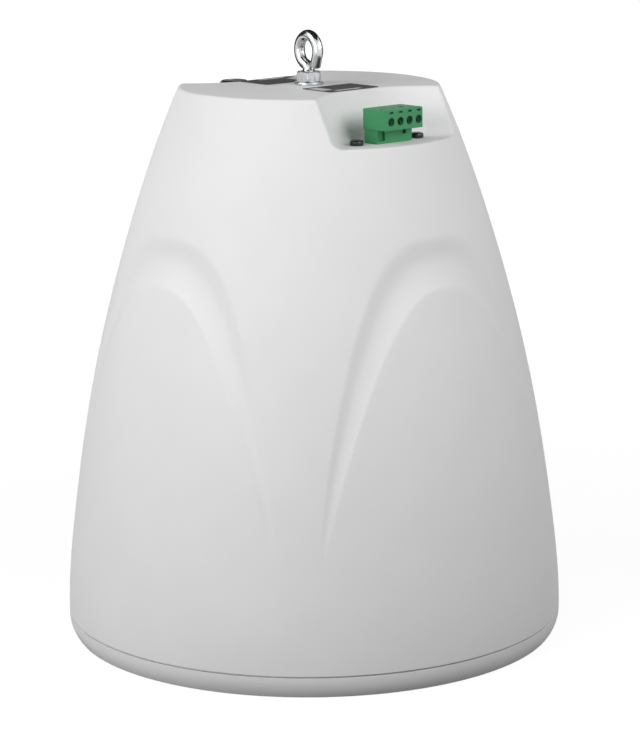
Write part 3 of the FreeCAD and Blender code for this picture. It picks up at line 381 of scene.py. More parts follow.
class Finish:
    """A node material under construction, with its shader and the piece's own coordinates."""

    def __init__(self, name, color, roughness, **sockets):
        self.material = bpy.data.materials.new(name + "_finish")
        self.material.use_nodes = True
        self.tree = self.material.node_tree
        self.shader = self.tree.nodes["Principled BSDF"]
        self.color = color
        self.roughness = roughness
        set_inputs(self.shader, {"Base Color": (*color, 1), "Roughness": roughness})
        set_inputs(self.shader, {key.replace("_", " "): value for key, value in sockets.items()})
        self.coords = self.add("ShaderNodeTexCoord").outputs["Object"]

    def add(self, kind, values=None, **props):
        node = self.tree.nodes.new(kind)
        for key, value in props.items():
            setattr(node, key, value)
        set_inputs(node, values or {})
        return node

    def link(self, source, target):
        self.tree.links.new(source, target)

    def stretched(self, scale):
        node = self.add("ShaderNodeMapping", {"Scale": scale})
        self.link(self.coords, node.inputs["Vector"])
        return node.outputs["Vector"]

    def noise(self, scale, detail=3.0, vector=None):
        """A noise field over the piece. scale is in cells per metre."""
        values = {"Scale": scale, "Detail": detail, "Roughness": NOISE_ROUGHNESS}
        node = self.add("ShaderNodeTexNoise", values)
        self.link(vector or self.coords, node.inputs["Vector"])
        return node.outputs["Fac"]

    def span(self, value, low, high, from_low=0.0, from_high=1.0):
        node = self.add("ShaderNodeMapRange", {
            "From Min": from_low, "From Max": from_high, "To Min": low, "To Max": high})
        self.link(value, node.inputs["Value"])
        return node.outputs["Result"]

    def math(self, operation, a, b):
        node = self.add("ShaderNodeMath", operation=operation)
        for socket, value in zip(node.inputs, (a, b)):
            if isinstance(value, (int, float)):
                socket.default_value = value
            else:
                self.link(value, socket)
        return node.outputs[0]

    def mix(self, value, a, b):
        node = self.add("ShaderNodeMix", data_type="RGBA")
        for socket, item in ((MIX_A, a), (MIX_B, b)):
            if isinstance(item, tuple):
                node.inputs[socket].default_value = (*item, 1)
            else:
                self.link(item, node.inputs[socket])
        self.link(value, node.inputs["Factor"])
        return node.outputs[MIX_RESULT]

    def colour_over(self, field, low, high):
        """The colour runs from low to high with a field."""
        self.link(self.mix(field, low, high), self.shader.inputs["Base Color"])

    def mottle(self, scale, amount, **noise):
        """The colour wanders by a share of itself."""
        field = self.span(self.noise(scale, **noise), 0.0, 1.0, *NOISE_SPAN)
        self.colour_over(field, times(self.color, 1 - amount), times(self.color, 1 + amount))

    def gloss_over(self, field, low, high):
        """The roughness runs between two shares of itself with a noise field."""
        low, high = self.roughness * low, min(self.roughness * high, 1.0)
        self.link(self.span(field, low, high, *NOISE_SPAN), self.shader.inputs["Roughness"])

    def patchy_gloss(self, scale, amount, **noise):
        self.gloss_over(self.noise(scale, **noise), 1 - amount, 1 + amount)

    def bump(self, value, strength, distance, edge=0.0):
        node = self.add("ShaderNodeBump", {"Strength": strength, "Distance": distance})
        self.link(value, node.inputs["Height"])
        if edge:
            round_edge = self.add("ShaderNodeBevel", {"Radius": edge}, samples=6)
            self.link(round_edge.outputs["Normal"], node.inputs["Normal"])
        self.link(node.outputs["Normal"], self.shader.inputs["Normal"])


def moulded(name, color, roughness, grain=2600.0, edge=0.0, **sockets):
    """Moulded plastic: a spark grain, faint clouds, uneven gloss. edge is its corners' radius."""
    made = Finish(name, color, roughness, **sockets)
    made.mottle(35.0, 0.012, detail=2.0)
    made.patchy_gloss(160.0, 0.12, detail=2.0)
    made.bump(made.noise(grain, detail=2.0), GRAIN_STRENGTH, GRAIN_DEPTH, edge)
    return made.material


def brushed(name, color, roughness, stretch, **sockets):
    """Metal with fine drawn lines along one axis."""
    made = Finish(name, color, roughness, Metallic=1.0, **sockets)
    lines = made.noise(900.0, detail=4.0, vector=made.stretched(stretch))
    made.gloss_over(lines, 0.7, 1.4)
    made.mottle(300.0, 0.05)
    made.bump(lines, 0.15, 0.02 * MM)
    return made.material


def woven(name, color, pitch):
    """Thin cloth of warp and weft."""
    made = Finish(name, color, 0.9)
    waves = []
    scale = 1 / pitch / WAVES_PER_SCALE
    for axis in ("X", "Y"):
        values = {"Scale": scale, "Distortion": 0.4}
        node = made.add("ShaderNodeTexWave", values, bands_direction=axis)
        made.link(made.coords, node.inputs["Vector"])
        waves.append(node.outputs["Fac"])
    weave = made.math("MULTIPLY", waves[0], waves[1])
    made.colour_over(weave, times(color, 0.4), color)
    made.bump(weave, 0.6, 0.1 * MM)
    return made.material


def porous(name, color, cell):
    """Open foam or pressed board."""
    made = Finish(name, color, 0.95)
    node = made.add("ShaderNodeTexVoronoi", {"Scale": 1 / cell})
    made.link(made.coords, node.inputs["Vector"])
    distance = node.outputs["Distance"]
    made.colour_over(distance, times(color, 0.45), color)
    made.bump(distance, 0.7, cell * 0.4)
    return made.material


def wound(name, color, pitch):
    """Enamelled wire laid turn on turn."""
    made = Finish(name, color, 0.3, Metallic=1.0)
    scale = 1 / pitch / WAVES_PER_SCALE
    node = made.add("ShaderNodeTexWave", {"Scale": scale}, bands_direction="Z")
    made.link(made.coords, node.inputs["Vector"])
    turns = node.outputs["Fac"]
    made.colour_over(turns, times(color, 0.4), color)
    made.bump(turns, 0.8, pitch * 0.5)
    return made.material


def printed_label(name, color):
    """A dark film label. Plain light fields stand for the print of the front and rear labels."""
    made = Finish(name, color, 0.5, Specular_IOR_Level=0.03)
    split = made.add("ShaderNodeSeparateXYZ")
    made.link(made.coords, split.inputs["Vector"])

    def within(value, low, high):
        above = made.math("GREATER_THAN", value, low * MM)
        return made.math("MULTIPLY", above, made.math("LESS_THAN", value, high * MM))

    marks = None
    for x0, x1, y0, y1 in PRINTED_FIELDS:
        wide, high = within(split.outputs["X"], x0, x1), within(split.outputs["Y"], y0, y1)
        shape = made.math("MULTIPLY", wide, high)
        marks = shape if marks is None else made.math("MAXIMUM", marks, shape)
    wear = made.span(made.noise(1500.0, detail=1.0), 0.75, 1.0, 0.35, 0.6)
    film = made.mix(made.noise(500.0), times(color, 0.88), times(color, 1.12))
    made.colour_over(made.math("MULTIPLY", marks, wear), film, paint(0.83, 0.83, 0.82))
    made.bump(made.noise(2200.0), 0.12, 0.02 * MM)
    return made.material


def finishes():
    """The finish for each of the record's material slots."""
    zinc = paint(0.74, 0.75, 0.76)
    colours = bpy.context.scene.pendant_speaker.colours
    bell, trim, green = tuple(colours.bell), tuple(colours.trim), tuple(colours.terminal)
    label, screw = tuple(colours.label), tuple(colours.screw)
    return {
        "bell_plastic": moulded("bell_plastic", bell, 0.6, Specular_IOR_Level=0.2),
        "trim_plastic": moulded("trim_plastic", trim, 0.6, Specular_IOR_Level=0.2),
        "grille_paint": moulded("grille_paint", trim, 0.4, grain=4200.0),
        "black_cloth": woven("black_cloth", paint(0.13, 0.13, 0.135), 0.6 * MM),
        "foam": porous("foam", paint(0.32, 0.32, 0.34), 1.6 * MM),
        "fibreboard": porous("fibreboard", paint(0.55, 0.42, 0.28), 0.9 * MM),
        "black_rubber": moulded("black_rubber", paint(0.11, 0.11, 0.115), 0.55, grain=1800.0),
        "frame_paint": moulded("frame_paint", paint(0.14, 0.14, 0.145), 0.45),
        "cone_paper": porous("cone_paper", paint(0.17, 0.17, 0.17), 0.7 * MM),
        "spider_cloth": woven("spider_cloth", paint(0.72, 0.55, 0.24), 0.7 * MM),
        "zinc_steel": brushed("zinc_steel", zinc, 0.3, (1, 1, 0.15)),
        "polished_steel": brushed("polished_steel", paint(0.8, 0.81, 0.81), 0.13, (1, 1, 0.2)),
        "ferrite": porous("ferrite", paint(0.2, 0.2, 0.205), 0.5 * MM),
        "copper_wire": wound("copper_wire", paint(0.78, 0.45, 0.27), 0.3 * MM),
        "black_plastic": moulded("black_plastic", paint(0.1, 0.1, 0.105), 0.38),
        "lamination": brushed("lamination", paint(0.5, 0.5, 0.52), 0.4, (1, 1, 12)),
        "winding_tape": moulded("winding_tape", paint(0.82, 0.68, 0.2), 0.35),
        "board": moulded("board", paint(0.12, 0.36, 0.2), 0.4),
        "label_film": printed_label("label_film", label),
        "terminal_green": moulded("terminal_green", green, 0.34, grain=2400.0, edge=0.3 * MM),
        "tin": brushed("tin", paint(0.8, 0.81, 0.8), 0.25, (1, 0.2, 1)),
        "black_screw": moulded("black_screw", screw, 0.2, grain=1500.0, edge=0.3 * MM),
        "white_mark": moulded("white_mark", paint(0.93, 0.93, 0.92), 0.4),
    }


def finish_of(slot):
    """The finish of a slot. They are all made when the first is asked for."""
    name = slot + "_finish"
    if name not in bpy.data.materials:
        finishes()
    return bpy.data.materials[name]


def slots_of_nodes():
    return {row["node"]: row["material_slot"] for row in frame["record"]["subparts"]}


def add_object(name, data):
    added = bpy.data.objects.new(name, data)
    bpy.context.scene.collection.objects.link(added)
    return added


def put_piece(name, mesh, slot, body, *stands_for):
    """Adds a mesh to the object, on its body and in place of the named nodes."""
    piece = add_object(name, mesh)
    mesh.materials.append(finish_of(slot))
    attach(piece, body)
    if stands_for:
        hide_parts(*stands_for)
    return piece


def clamped_spline(xs, ys, start, stop):
    """The cubic through the points with a set slope at both ends."""
    h = np.diff(xs)
    rows = len(xs)
    a = np.zeros((rows, rows))
    b = np.zeros(rows)
    a[0, :2] = 2 * h[0], h[0]
    b[0] = 6 * ((ys[1] - ys[0]) / h[0] - start)
    a[-1, -2:] = h[-1], 2 * h[-1]
    b[-1] = 6 * (stop - (ys[-1] - ys[-2]) / h[-1])
    for i in range(1, rows - 1):
        a[i, i - 1:i + 2] = h[i - 1], 2 * (h[i - 1] + h[i]), h[i]
        b[i] = 6 * ((ys[i + 1] - ys[i]) / h[i] - (ys[i] - ys[i - 1]) / h[i - 1])
    bend = np.linalg.solve(a, b)

    def value(x):
        over = np.maximum(x - xs[-1], 0)
        x = np.clip(x, xs[0], xs[-1])
        i = np.clip(np.searchsorted(xs, x) - 1, 0, len(h) - 1)
        p, q = (xs[i + 1] - x) / h[i], (x - xs[i]) / h[i]
        curve = p * ys[i] + q * ys[i + 1]
        curve += ((p ** 3 - p) * bend[i] + (q ** 3 - q) * bend[i + 1]) * h[i] ** 2 / 6
        return curve + over * stop

    return value


def round_max(a, b, r):
    """The greater of two distances, with their meeting rounded to radius r."""
    inner = np.minimum(np.maximum(a, b) + r, 0)
    return np.hypot(np.maximum(a + r, 0), np.maximum(b + r, 0)) - r + inner


class BellForm:
    """Distance of any place from the bell's surface, in millimetres and below 0 in the moulding."""

    def __init__(self, sizes, inset=0.0):
        bell, flute, pocket = sizes.bell, sizes.flute, sizes.pocket
        self.inset = inset
        self.deck_z = bell.deck_z / MM - inset
        self.edge_r = bell.edge_r / MM
        wide_z, top_z = bell.wide_z / MM, bell.deck_z / MM
        wide_r, deck_r = bell.wide_r / MM, bell.deck_r / MM
        heights = np.array([wide_z + share * (top_z - wide_z) for share, _ in FLARE])
        radii = np.array([deck_r + left * (wide_r - deck_r) for _, left in FLARE])
        self.side = clamped_spline(heights, radii, 0.0, TOP_SLOPE)
        self.flute = {key: getattr(flute, key) for key in flute.__annotations__}
        for key in ("depth", "crown_z", "foot_z", "sill_z", "sill_foot_z"):
            self.flute[key] /= MM
        self.floor_z = pocket.floor_z / MM - inset
        rise = (bell.deck_z - pocket.floor_z) / MM
        self.lean = (pocket.floor_back - pocket.back) / MM / rise
        self.narrow = (pocket.half - pocket.floor_half) / MM / rise
        self.pocket_low_z = pocket.floor_z / MM
        self.floor_back = pocket.floor_back / MM - inset
        self.floor_half = pocket.floor_half / MM + inset * INNER_WIDENING
        self.spread = math.tan(pocket.flare)
        self.corner_r = pocket.corner_r / MM + inset
        self.floor_r = pocket.floor_r / MM + inset

    def flute_depth(self, phi, z):
        """How far a flute sinks the wall at an angle from the pocket's axis and a height."""
        f = self.flute
        turn = np.abs((phi + math.pi / 4) % (math.pi / 2) - math.pi / 4)
        rise = np.clip((z - f["foot_z"]) / (f["crown_z"] - f["foot_z"]), 0, None)
        outer = (turn / f["leg"]) ** f["outer_round"] + rise ** f["outer_fall"]
        climb = np.clip((z - f["sill_foot_z"]) / (f["sill_z"] - f["sill_foot_z"]), 0, None)
        inner = (turn / f["sill_leg"]) ** f["inner_round"] + climb ** f["inner_fall"]
        from_outer, from_inner = 1 - outer, inner - 1
        across = np.where(from_outer > 0, from_outer / np.maximum(from_outer + from_inner, 1e-3), 0)
        across = np.clip(across, 0, 2)
        split = f["wall_share"]
        fall = np.clip(across / split, 0, 1)
        lead = f["wall_lead"]
        led = lead * fall * np.minimum(across / f["edge_share"], 1)
        wall = led + (1 - lead) * fall * fall * (3 - 2 * fall)
        ramp = 1 - np.clip((across - split) / (1 - split), 0, None) ** 2
        soft = f["ridge_soft"]
        ramp = np.maximum(ramp, 0) + np.maximum(soft - np.abs(ramp), 0) ** 2 / (4 * soft)
        return np.minimum(wall, ramp) * f["depth"] * np.clip(rise, 0, 1) ** f["run_out"]

    def pocket(self, along, across, z):
        """Distance from one pocket's space. along runs out from the axis and across to the side."""
        up = z - self.pocket_low_z
        back = (self.floor_back - self.lean * up - along) / math.hypot(1, self.lean)
        lean = self.narrow + self.lean * self.spread
        out = along - self.floor_back + self.lean * up
        side = np.abs(across) - self.floor_half - self.narrow * up - out * self.spread
        side = side / math.sqrt(1 + self.spread ** 2 + lean ** 2)
        return round_max(round_max(back, side, self.corner_r), self.floor_z - z, self.floor_r)

    def distance(self, r, phi, z):
        wall = self.side(z)
        slope = self.side(z + 0.5) - self.side(z - 0.5)
        shell = (r - (wall - self.inset - self.flute_depth(phi, z))) / np.hypot(1, slope)
        body = round_max(shell, z - self.deck_z, self.edge_r)
        x, y = r * np.sin(phi), r * np.cos(phi)
        for along in (y, -y):
            body = round_max(body, -self.pocket(along, x, z), self.edge_r)
        return body

    def normal(self, r, phi, z):
        x, y = r * np.sin(phi), -r * np.cos(phi)
        parts = []
        for dx, dy, dz in np.eye(3) * NORMAL_STEP:
            pair = []
            for way in (1, -1):
                px, py = x + way * dx, y + way * dy
                pair.append(self.distance(np.hypot(px, py), np.arctan2(px, -py), z + way * dz))
            parts.append(pair[0] - pair[1])
        n = np.stack(parts, -1)
        return n / np.linalg.norm(n, axis=-1, keepdims=True)


def lines_round(step):
    """Angles of the mesh lines, closer together at the flutes' legs and the pockets' side walls."""
    quarter = np.concatenate([
        np.linspace(low, high, max(round((high - low) / (step * share)), 1), endpoint=False)
        for low, high, share in LINE_SPANS])
    half = np.concatenate([quarter, [90.0], 180 - quarter[:0:-1]])
    return np.radians(np.concatenate([half, 180 + half]))


def bell_lines(form, phis, count, bore_r, base_z, bend_weight):
    """Points down the bell at each angle, spread by length and by how sharply the surface turns."""
    start = math.atan2(form.deck_z - PIVOT_Z, bore_r)
    stop = math.atan2(base_z - PIVOT_Z, float(form.side(np.array([base_z]))[0]) - form.inset)
    rays = np.linspace(start, stop, RAYS)
    phi, ray = np.meshgrid(phis, rays, indexing="ij")
    reach = np.full(phi.shape, FAR_R)
    for _ in range(MARCH_STEPS):
        gap = form.distance(reach * np.cos(ray), phi, PIVOT_Z + reach * np.sin(ray))
        reach -= MARCH_SHARE * gap
    r, z = reach * np.cos(ray), PIVOT_Z + reach * np.sin(ray)
    dr, dz = np.diff(r, axis=1), np.diff(z, axis=1)
    length = np.hypot(dr, dz)
    heading = np.unwrap(np.arctan2(dz, dr), axis=1)
    bend = np.abs(np.diff(heading, axis=1))
    weight = length.copy()
    weight[:, 1:] += bend_weight * bend / 2
    weight[:, :-1] += bend_weight * bend / 2
    kernel = np.hanning(SMOOTH_OVER + 2)[1:-1]
    kernel /= kernel.sum()
    margin = SMOOTH_OVER // 2
    padded = np.pad(weight, ((0, 0), (margin, margin)), mode="edge")
    weight = sum(kernel[k] * padded[:, k:k + weight.shape[1]] for k in range(SMOOTH_OVER))
    total = np.concatenate([np.zeros((len(phis), 1)), np.cumsum(weight, axis=1)], axis=1)
    out_r, out_z = np.empty((len(phis), count)), np.empty((len(phis), count))
    for i in range(len(phis)):
        marks = np.linspace(0, total[i, -1], count)
        out_r[i] = np.interp(marks, total[i], r[i])
        out_z[i] = np.interp(marks, total[i], z[i])
    phi = np.repeat(phis[:, None], count, axis=1)
    fixed = np.zeros(phi.shape, bool)
    fixed[:, 0] = fixed[:, -1] = True

    def slope(dr, dz):
        ahead = form.distance(out_r + dr, phi, out_z + dz)
        return (ahead - form.distance(out_r - dr, phi, out_z - dz)) / (2 * SLOPE_STEP)

    for _ in range(SETTLE_STEPS):
        gap = form.distance(out_r, phi, out_z)
        by_r, by_z = slope(SLOPE_STEP, 0), slope(0, SLOPE_STEP)
        steepness = np.maximum(by_r ** 2 + by_z ** 2, LEAST_SLOPE_SQUARED)
        scale = np.where(fixed, 0, gap / steepness)
        out_r -= scale * by_r
        out_z -= scale * by_z
    return phi, out_r, out_z


def build_bell(sizes):
    """The bell as one closed skin: outside, bore, inside and the land over the seam."""
    bell = sizes.bell
    phis = lines_round(math.degrees(bell.turn_step))
    bore_r, base_z, wall = bell.bore_r / MM, bell.base_z / MM, bell.wall / MM
    outside, inside = BellForm(sizes), BellForm(sizes, wall)
    phi, r, z = bell_lines(outside, phis, bell.rows, bore_r, base_z + LAND_EDGE, OUTSIDE_BEND)
    rows = [(phi, r, z)]
    normals = [outside.normal(r, phi, z)]
    land_r = bell.wide_r / MM
    land_in = land_r - wall
    # Rings of the land: radius, height, and how far the normal points out and up.
    land = (
        (land_r - 0.1, base_z + 0.08, 0.6, -0.8),
        (land_r - 0.35, base_z, 0, -1),
        (land_in + LAND_EDGE, base_z, 0, -1),
        (land_in, base_z + LAND_EDGE, -0.7, -0.7),
    )
    column = phis[:, None]
    ones = np.ones(column.shape)
    for ring_r, ring_z, out, up in land:
        rows.append((column, ones * ring_r, ones * ring_z))
        normals.append(np.stack([out * np.sin(column), -out * np.cos(column), ones * up], -1))
    inner_rows = bell.rows // INSIDE_SHARE
    phi, r, z = bell_lines(inside, phis, inner_rows, bore_r, base_z + INSIDE_FOOT, INSIDE_BEND)
    rows.append((phi[:, ::-1], r[:, ::-1], z[:, ::-1]))
    normals.append(-inside.normal(r, phi, z)[:, ::-1])
    phi, r, z = (np.concatenate([row[k] for row in rows], axis=1) for k in range(3))
    normal = np.concatenate(normals, axis=1)
    points = np.stack([r * np.sin(phi), -r * np.cos(phi), z], -1) * MM
    lines, count = r.shape
    index = np.arange(lines * count).reshape(lines, count)
    here, there = index, np.roll(index, -1, axis=0)
    down = np.roll(index, -1, axis=1)
    down_there = np.roll(there, -1, axis=1)
    quads = np.stack([here, down, down_there, there], -1).reshape(-1, 4)
    mesh = bpy.data.meshes.new("bell_moulding")
    mesh.from_pydata(points.reshape(-1, 3).tolist(), [], quads.tolist())
    mesh.update()
    mesh.shade_smooth()
    normal = normal / np.linalg.norm(normal, axis=-1, keepdims=True)
    mesh.normals_split_custom_set_from_vertices(normal.reshape(-1, 3).tolist())
    return mesh


def rod_path(sizes):
    """The rod's centre line in its upright plane, from the nut's foot round the eye to its end."""
    eye_r, neck_r = sizes.eye_r, sizes.neck_r
    eye_z = sizes.top_z - sizes.rod_r - eye_r
    neck_z = eye_z - math.sqrt(eye_r ** 2 + 2 * neck_r * eye_r)
    foot_z = thread_top_z(sizes) - sizes.nut_h
    points = [(0.0, foot_z + (neck_z - foot_z) * k / STRAIGHT_STEPS) for k in range(STRAIGHT_STEPS)]
    bend = math.atan2(eye_z - neck_z, neck_r)
    for k in range(NECK_STEPS):
        a = bend * k / NECK_STEPS
        points.append((-neck_r + neck_r * math.cos(a), neck_z + neck_r * math.sin(a)))
    first, last = bend + math.pi, -sizes.leave
    for k in range(EYE_STEPS + 1):
        a = first + (last - first) * k / EYE_STEPS
        points.append((eye_r * math.cos(a), eye_z + eye_r * math.sin(a)))
    x, z = points[-1]
    way = (-math.sin(sizes.leave), -math.cos(sizes.leave))
    for k in range(1, STRAIGHT_STEPS + 1):
        length = sizes.tail * k / STRAIGHT_STEPS
        points.append((x + way[0] * length, z + way[1] * length))
    return [Vector((u, 0, v)) for u, v in points]


def rod_rings(points, radius):
    """Rings round a path, with the last end rounded over."""
    side = Vector((0, 1, 0))
    tip = radius * TIP_SHARE
    count = len(points)
    ways = []
    for i in range(count):
        before, after = points[max(i - 1, 0)], points[min(i + 1, count - 1)]
        ways.append((after - before).normalized())
    stations = [(points[i], ways[i], radius) for i in range(count)]
    end, way = points[-1] - ways[-1] * tip, ways[-1]
    stations[-1] = (end, way, radius)
    for k in range(1, TIP_STEPS + 1):
        a = k / TIP_STEPS * math.pi / 2
        stations.append((end + way * tip * math.sin(a), way, radius - tip + tip * math.cos(a)))
    rings = []
    for place, heading, r in stations:
        across = side.cross(heading).normalized()
        turns = [2 * math.pi * k / ROD_AROUND for k in range(ROD_AROUND)]
        rings.append([place + (side * math.cos(a) + across * math.sin(a)) * r for a in turns])
    return rings


def thread_rings(low, high, radius, pitch):
    """Rings of a screw thread, run out at both ends."""
    depth = pitch * THREAD_DEPTH
    rings = []
    count = int((high - low) / pitch * THREAD_STEPS)
    for i in range(count + 1):
        z = low + (high - low) * i / count
        lead = min(i, count - i) / THREAD_STEPS
        ring = []
        for k in range(THREAD_AROUND):
            a = 2 * math.pi * k / THREAD_AROUND
            turn = (z / pitch - k / THREAD_AROUND) % 1.0
            cut = depth * min(abs(2 * turn - 1) * FLANK_STEEPNESS, 1.0)
            r = radius - max(cut, depth * max(0.0, 1 - RUN_OUT_RATE * lead))
            ring.append(Vector((r * math.cos(a), r * math.sin(a), z)))
        rings.append(ring)
    return rings


def skin_rings(mesh_parts, rings, turn=0.0):
    """Adds a closed skin over rings of equal size, capped at both ends and turned about z."""
    verts, faces = mesh_parts
    first = len(verts)
    around = len(rings[0])
    spin = Matrix.Rotation(turn, 3, "Z")
    verts.extend(spin @ p for ring in rings for p in ring)
    for i in range(len(rings) - 1):
        for k in range(around):
            a, b = first + i * around + k, first + i * around + (k + 1) % around
            faces.append((a, b, b + around, a + around))
    last = first + (len(rings) - 1) * around
    faces.append(tuple(range(first + around - 1, first - 1, -1)))
    faces.append(tuple(range(last, last + around)))


def finish_mesh(name, verts, faces, sharp_deg):
    """A mesh with smooth faces that stays crisp over the sharper edges."""
    mesh = bpy.data.meshes.new(name)
    mesh.from_pydata(verts, [], faces)
    mesh.update()
    mesh.shade_smooth()
    mesh.set_sharp_from_angle(angle=math.radians(sharp_deg))
    return mesh


def ring_mesh(name, outline_at, around, sharp_deg):
    """A body with a bore: the closed outline (radius, height) may change with the angle."""
    verts, faces = [], []
    for k in range(around):
        a = 2 * math.pi * k / around
        outline = outline_at(a)
        verts.extend(Vector((r * math.cos(a), r * math.sin(a), z)) for r, z in outline)
    count = len(outline)
    for k in range(around):
        there = (k + 1) % around
        for i in range(count):
            j = (i + 1) % count
            faces.append((k * count + i, there * count + i, there * count + j, k * count + j))
    return finish_mesh(name, verts, faces, sharp_deg)


def nut_foot_z(sizes):
    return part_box("washer")[1][2]


def thread_top_z(sizes):
    return nut_foot_z(sizes) + sizes.nut_h


def eyebolt_mesh(sizes):
    parts = ([], [])
    skin_rings(parts, rod_rings(rod_path(sizes), sizes.rod_r), sizes.turn)
    high = thread_top_z(sizes) + sizes.thread_proud
    skin_rings(parts, thread_rings(sizes.thread_low_z, high, sizes.thread_r, sizes.pitch))
    return finish_mesh("eyebolt_rod", *parts, sharp_deg=40)


def nut_mesh(sizes):
    """A hexagon nut with turned corners and a countersunk bore."""
    low, high = nut_foot_z(sizes), thread_top_z(sizes)
    flat_r = sizes.across / 2
    bore, sink = sizes.thread_r, 0.35 * MM
    edge = 0.12 * MM

    def outline(a):
        off = (a - sizes.nut_turn + math.pi / 6) % (math.pi / 3) - math.pi / 6
        off = math.pi / 6 - abs(off)
        r = min(flat_r / math.cos(off), flat_r * CORNER_REACH)
        drop = (r - flat_r * CHAMFER_START) * math.tan(math.radians(CHAMFER_DEG))
        face_r = flat_r * FACE_SHARE
        return [(bore, low + sink), (bore + sink, low), (face_r, low),
                (r - edge, low + drop), (r, low + drop + edge),
                (r, high - drop - edge), (r - edge, high - drop),
                (face_r, high), (bore + sink, high), (bore, high - sink)]

    return ring_mesh("nut", outline, NUT_AROUND, sharp_deg=22)


def washer_mesh(sizes):
    high = nut_foot_z(sizes)
    low = high - sizes.washer_t
    r, edge, bore = sizes.washer_r, 0.22 * MM, sizes.thread_r + 0.2 * MM
    outline = [(bore, low), (r - edge, low)]
    for corner_z, first in ((low + edge, -90), (high - edge, 0)):
        for k in range(WASHER_EDGE_STEPS + 1):
            a = math.radians(first + 90 * k / WASHER_EDGE_STEPS)
            outline.append((r - edge + edge * math.cos(a), corner_z + edge * math.sin(a)))
    outline.append((bore, high))
    return ring_mesh("washer_disc", lambda a: outline, WASHER_AROUND, sharp_deg=50)


class SPEAKER_OT_bell(bpy.types.Operator):
    """Moulds the bell with its flutes and its two pockets"""
    bl_idname = "speaker.bell"
    bl_label = "Bell moulding"

    def execute(self, context):
        mesh = build_bell(context.scene.pendant_speaker)
        put_piece("bell_moulding", mesh, "bell_plastic", "housing", "bell_shell")
        return {"FINISHED"}


class SPEAKER_OT_suspension(bpy.types.Operator):
    """Bends the eyebolt and makes its nut and washer"""
    bl_idname = "speaker.suspension"
    bl_label = "Eyebolt, nut and washer"

    def execute(self, context):
        sizes = context.scene.pendant_speaker.suspension
        put_piece("bent_eyebolt", eyebolt_mesh(sizes), "polished_steel", "housing", "eyebolt")
        put_piece("hexagon_nut", nut_mesh(sizes), "zinc_steel", "housing", "lock_nut")
        put_piece("round_washer", washer_mesh(sizes), "zinc_steel", "housing", "washer")
        return {"FINISHED"}


class SPEAKER_OT_finishes(bpy.types.Operator):
    """Gives each carried-over node the finish of its slot"""
    bl_idname = "speaker.finishes"
    bl_label = "Finishes"

    def execute(self, context):
        slots = slots_of_nodes()
        for name, node in frame["nodes"].items():
            node.data.materials.clear()
            node.data.materials.append(finish_of(slots[name]))
        return {"FINISHED"}


def camera_axes():
    """The camera's place and its own axes, as fitted to the photograph."""
    turn = Matrix.Rotation(math.radians(VIEW_TURN), 3, "Z")
    yaw, pitch, roll = CAMERA_YAW, CAMERA_PITCH, CAMERA_ROLL
    level = math.cos(pitch)
    ahead = Vector((math.sin(yaw) * level, math.cos(yaw) * level, -math.sin(pitch)))
    right = Vector((math.cos(yaw), -math.sin(yaw), 0))
    up = right.cross(ahead)
    side = math.cos(roll) * right + math.sin(roll) * up
    top = -math.sin(roll) * right + math.cos(roll) * up
    place = turn @ Vector((0, -CAMERA_BACK, CAMERA_UP))
    return place, [turn @ v for v in (side, top, -ahead)]


def from_camera(bearing, rise, distance):
    """A place round the speaker: degrees to the camera's right, degrees up, and metres away."""
    a, e = math.radians(bearing + VIEW_TURN), math.radians(rise)
    return Vector((math.sin(a) * math.cos(e), -math.cos(a) * math.cos(e), math.sin(e))) * distance


def add_lamp(name, bearing, rise, distance, size, power):
    lamp = add_object(name, bpy.data.lights.new(name, "AREA"))
    lamp.data.shape = "DISK"
    lamp.data.size = size
    lamp.data.energy = power
    way = from_camera(bearing, rise, distance)
    lamp.location = Vector(LAMP_AIM) + way
    lamp.rotation_euler = way.to_track_quat("Z", "Y").to_euler()


def seen_straight(tree):
    """1 for rays that come from the camera, a reflection or through glass."""
    path = tree.nodes.new("ShaderNodeLightPath")
    value = path.outputs["Is Camera Ray"]
    for name in ("Is Glossy Ray", "Is Transmission Ray"):
        node = tree.nodes.new("ShaderNodeMath")
        node.operation = "MAXIMUM"
        tree.links.new(value, node.inputs[0])
        tree.links.new(path.outputs[name], node.inputs[1])
        value = node.outputs[0]
    return value


def floor_finish():
    """Floor paint that glows to the camera and in gloss: it shows white, with a soft shadow."""
    made = Finish("floor_paint", paint(*FLOOR_LEVEL), 0.9)
    made.mottle(3.0, 0.01)
    glow = made.add("ShaderNodeEmission", {"Color": (1, 1, 1, 1)})
    away = made.add("ShaderNodeVectorMath", operation="LENGTH")
    made.link(made.coords, away.inputs[0])
    level = made.span(away.outputs["Value"], FLOOR_GLOW, 1.0, *GLOW_REACH)
    made.link(made.math("MULTIPLY", seen_straight(made.tree), level), glow.inputs["Strength"])
    both = made.add("ShaderNodeAddShader")
    made.link(made.shader.outputs["BSDF"], both.inputs[0])
    made.link(glow.outputs["Emission"], both.inputs[1])
    made.link(both.outputs["Shader"], made.tree.nodes["Material Output"].inputs["Surface"])
    return made.material


def studio_world(level):
    """An even pale room that shows white behind the speaker."""
    world = bpy.data.worlds.new("studio")
    world.use_nodes = True
    tree = world.node_tree
    mix = tree.nodes.new("ShaderNodeMapRange")
    tree.links.new(seen_straight(tree), mix.inputs["Value"])
    set_inputs(mix, {"To Min": level, "To Max": 1.0})
    tree.links.new(mix.outputs["Result"], tree.nodes["Background"].inputs["Strength"])
    set_inputs(tree.nodes["Background"], {"Color": (1, 1, 1, 1)})
    return world


def add_sheet(name, corners, material):
    """A flat sheet of the stage."""
    mesh = bpy.data.meshes.new(name)
    mesh.from_pydata(corners, [], [(0, 1, 2, 3)])
    mesh.materials.append(material)
    return add_object(name, mesh)


def add_floor():
    half = FLOOR_HALF
    corners = [(-half, -half, 0), (half, -half, 0), (half, half, 0), (-half, half, 0)]
    floor = add_sheet("floor", corners, floor_finish())


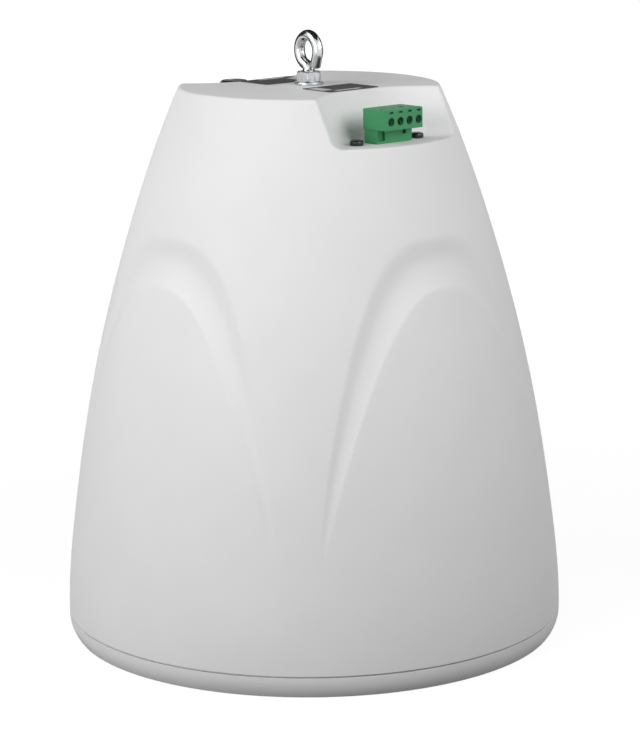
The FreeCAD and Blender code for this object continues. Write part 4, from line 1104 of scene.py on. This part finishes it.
def add_card(name, bearing, distance, width, height, tilt):
    """A dark card that gives the bright metal its dark edges."""
    half = width / 2
    corners = [(-half, 0, 0), (half, 0, 0), (half, 0, height), (-half, 0, height)]
    made = Finish("card_paint", paint(*CARD_LEVEL), 0.9)
    made.mottle(8.0, 0.05)
    card = add_sheet(name, corners, made.material)
    card.location = from_camera(bearing, 0.0, distance)
    card.rotation_euler = (math.radians(tilt), 0, math.radians(bearing + VIEW_TURN))
    if tilt:
        card.location.z = HANGING_Z
    card.visible_camera = card.visible_diffuse = card.visible_shadow = False


class SPEAKER_OT_stage(bpy.types.Operator):
    """Sets the pale floor, the soft studio light and the camera"""
    bl_idname = "speaker.stage"
    bl_label = "Studio stage"

    def execute(self, context):
        scene = context.scene
        scene.view_settings.view_transform = "Standard"
        camera = add_object("camera", bpy.data.cameras.new("camera"))
        place, axes = camera_axes()
        camera.matrix_world = Matrix.Translation(place) @ Matrix(axes).transposed().to_4x4()
        camera.data.sensor_width = SENSOR_MM
        camera.data.lens = FOCAL_PX / FRAME_HEIGHT_PX * SENSOR_MM
        scene.camera = camera
        add_floor()
        scene.world = studio_world(WORLD_LEVEL)
        for lamp in LAMPS:
            add_lamp(*lamp)
        for card in CARDS:
            add_card(*card)
        return {"FINISHED"}


class SPEAKER_PT_panel(bpy.types.Panel):
    """Shows the operators and the sizes and colours of the pendant speaker"""
    bl_idname = "SPEAKER_PT_panel"
    bl_label = "Pendant speaker"
    bl_space_type = "VIEW_3D"
    bl_region_type = "UI"
    bl_category = "Pendant speaker"

    def draw(self, context):
        layout = self.layout
        for operator in OPERATORS:
            layout.operator(operator.bl_idname)
        sizes = context.scene.pendant_speaker
        for group in (sizes.bell, sizes.flute, sizes.pocket, sizes.suspension, sizes.colours):
            box = layout.box()
            for key in group.__annotations__:
                box.prop(group, key)


OPERATORS = (SPEAKER_OT_finishes, SPEAKER_OT_bell, SPEAKER_OT_suspension, SPEAKER_OT_stage)
GROUPS = (BellSizes, FluteSizes, PocketSizes, SuspensionSizes, SpeakerColours, SpeakerSizes)
CLASSES = GROUPS + OPERATORS + (SPEAKER_PT_panel,)


def register():
    for item in CLASSES:
        bpy.utils.register_class(item)
    bpy.types.Scene.pendant_speaker = PointerProperty(type=SpeakerSizes)


def unregister():
    del bpy.types.Scene.pendant_speaker
    for item in reversed(CLASSES):
        bpy.utils.unregister_class(item)


def main():
    register()
    bpy.ops.speaker.finishes()
    bpy.ops.speaker.bell()
    bpy.ops.speaker.suspension()
    bpy.ops.speaker.stage()


if __name__ == "__main__":
    main()
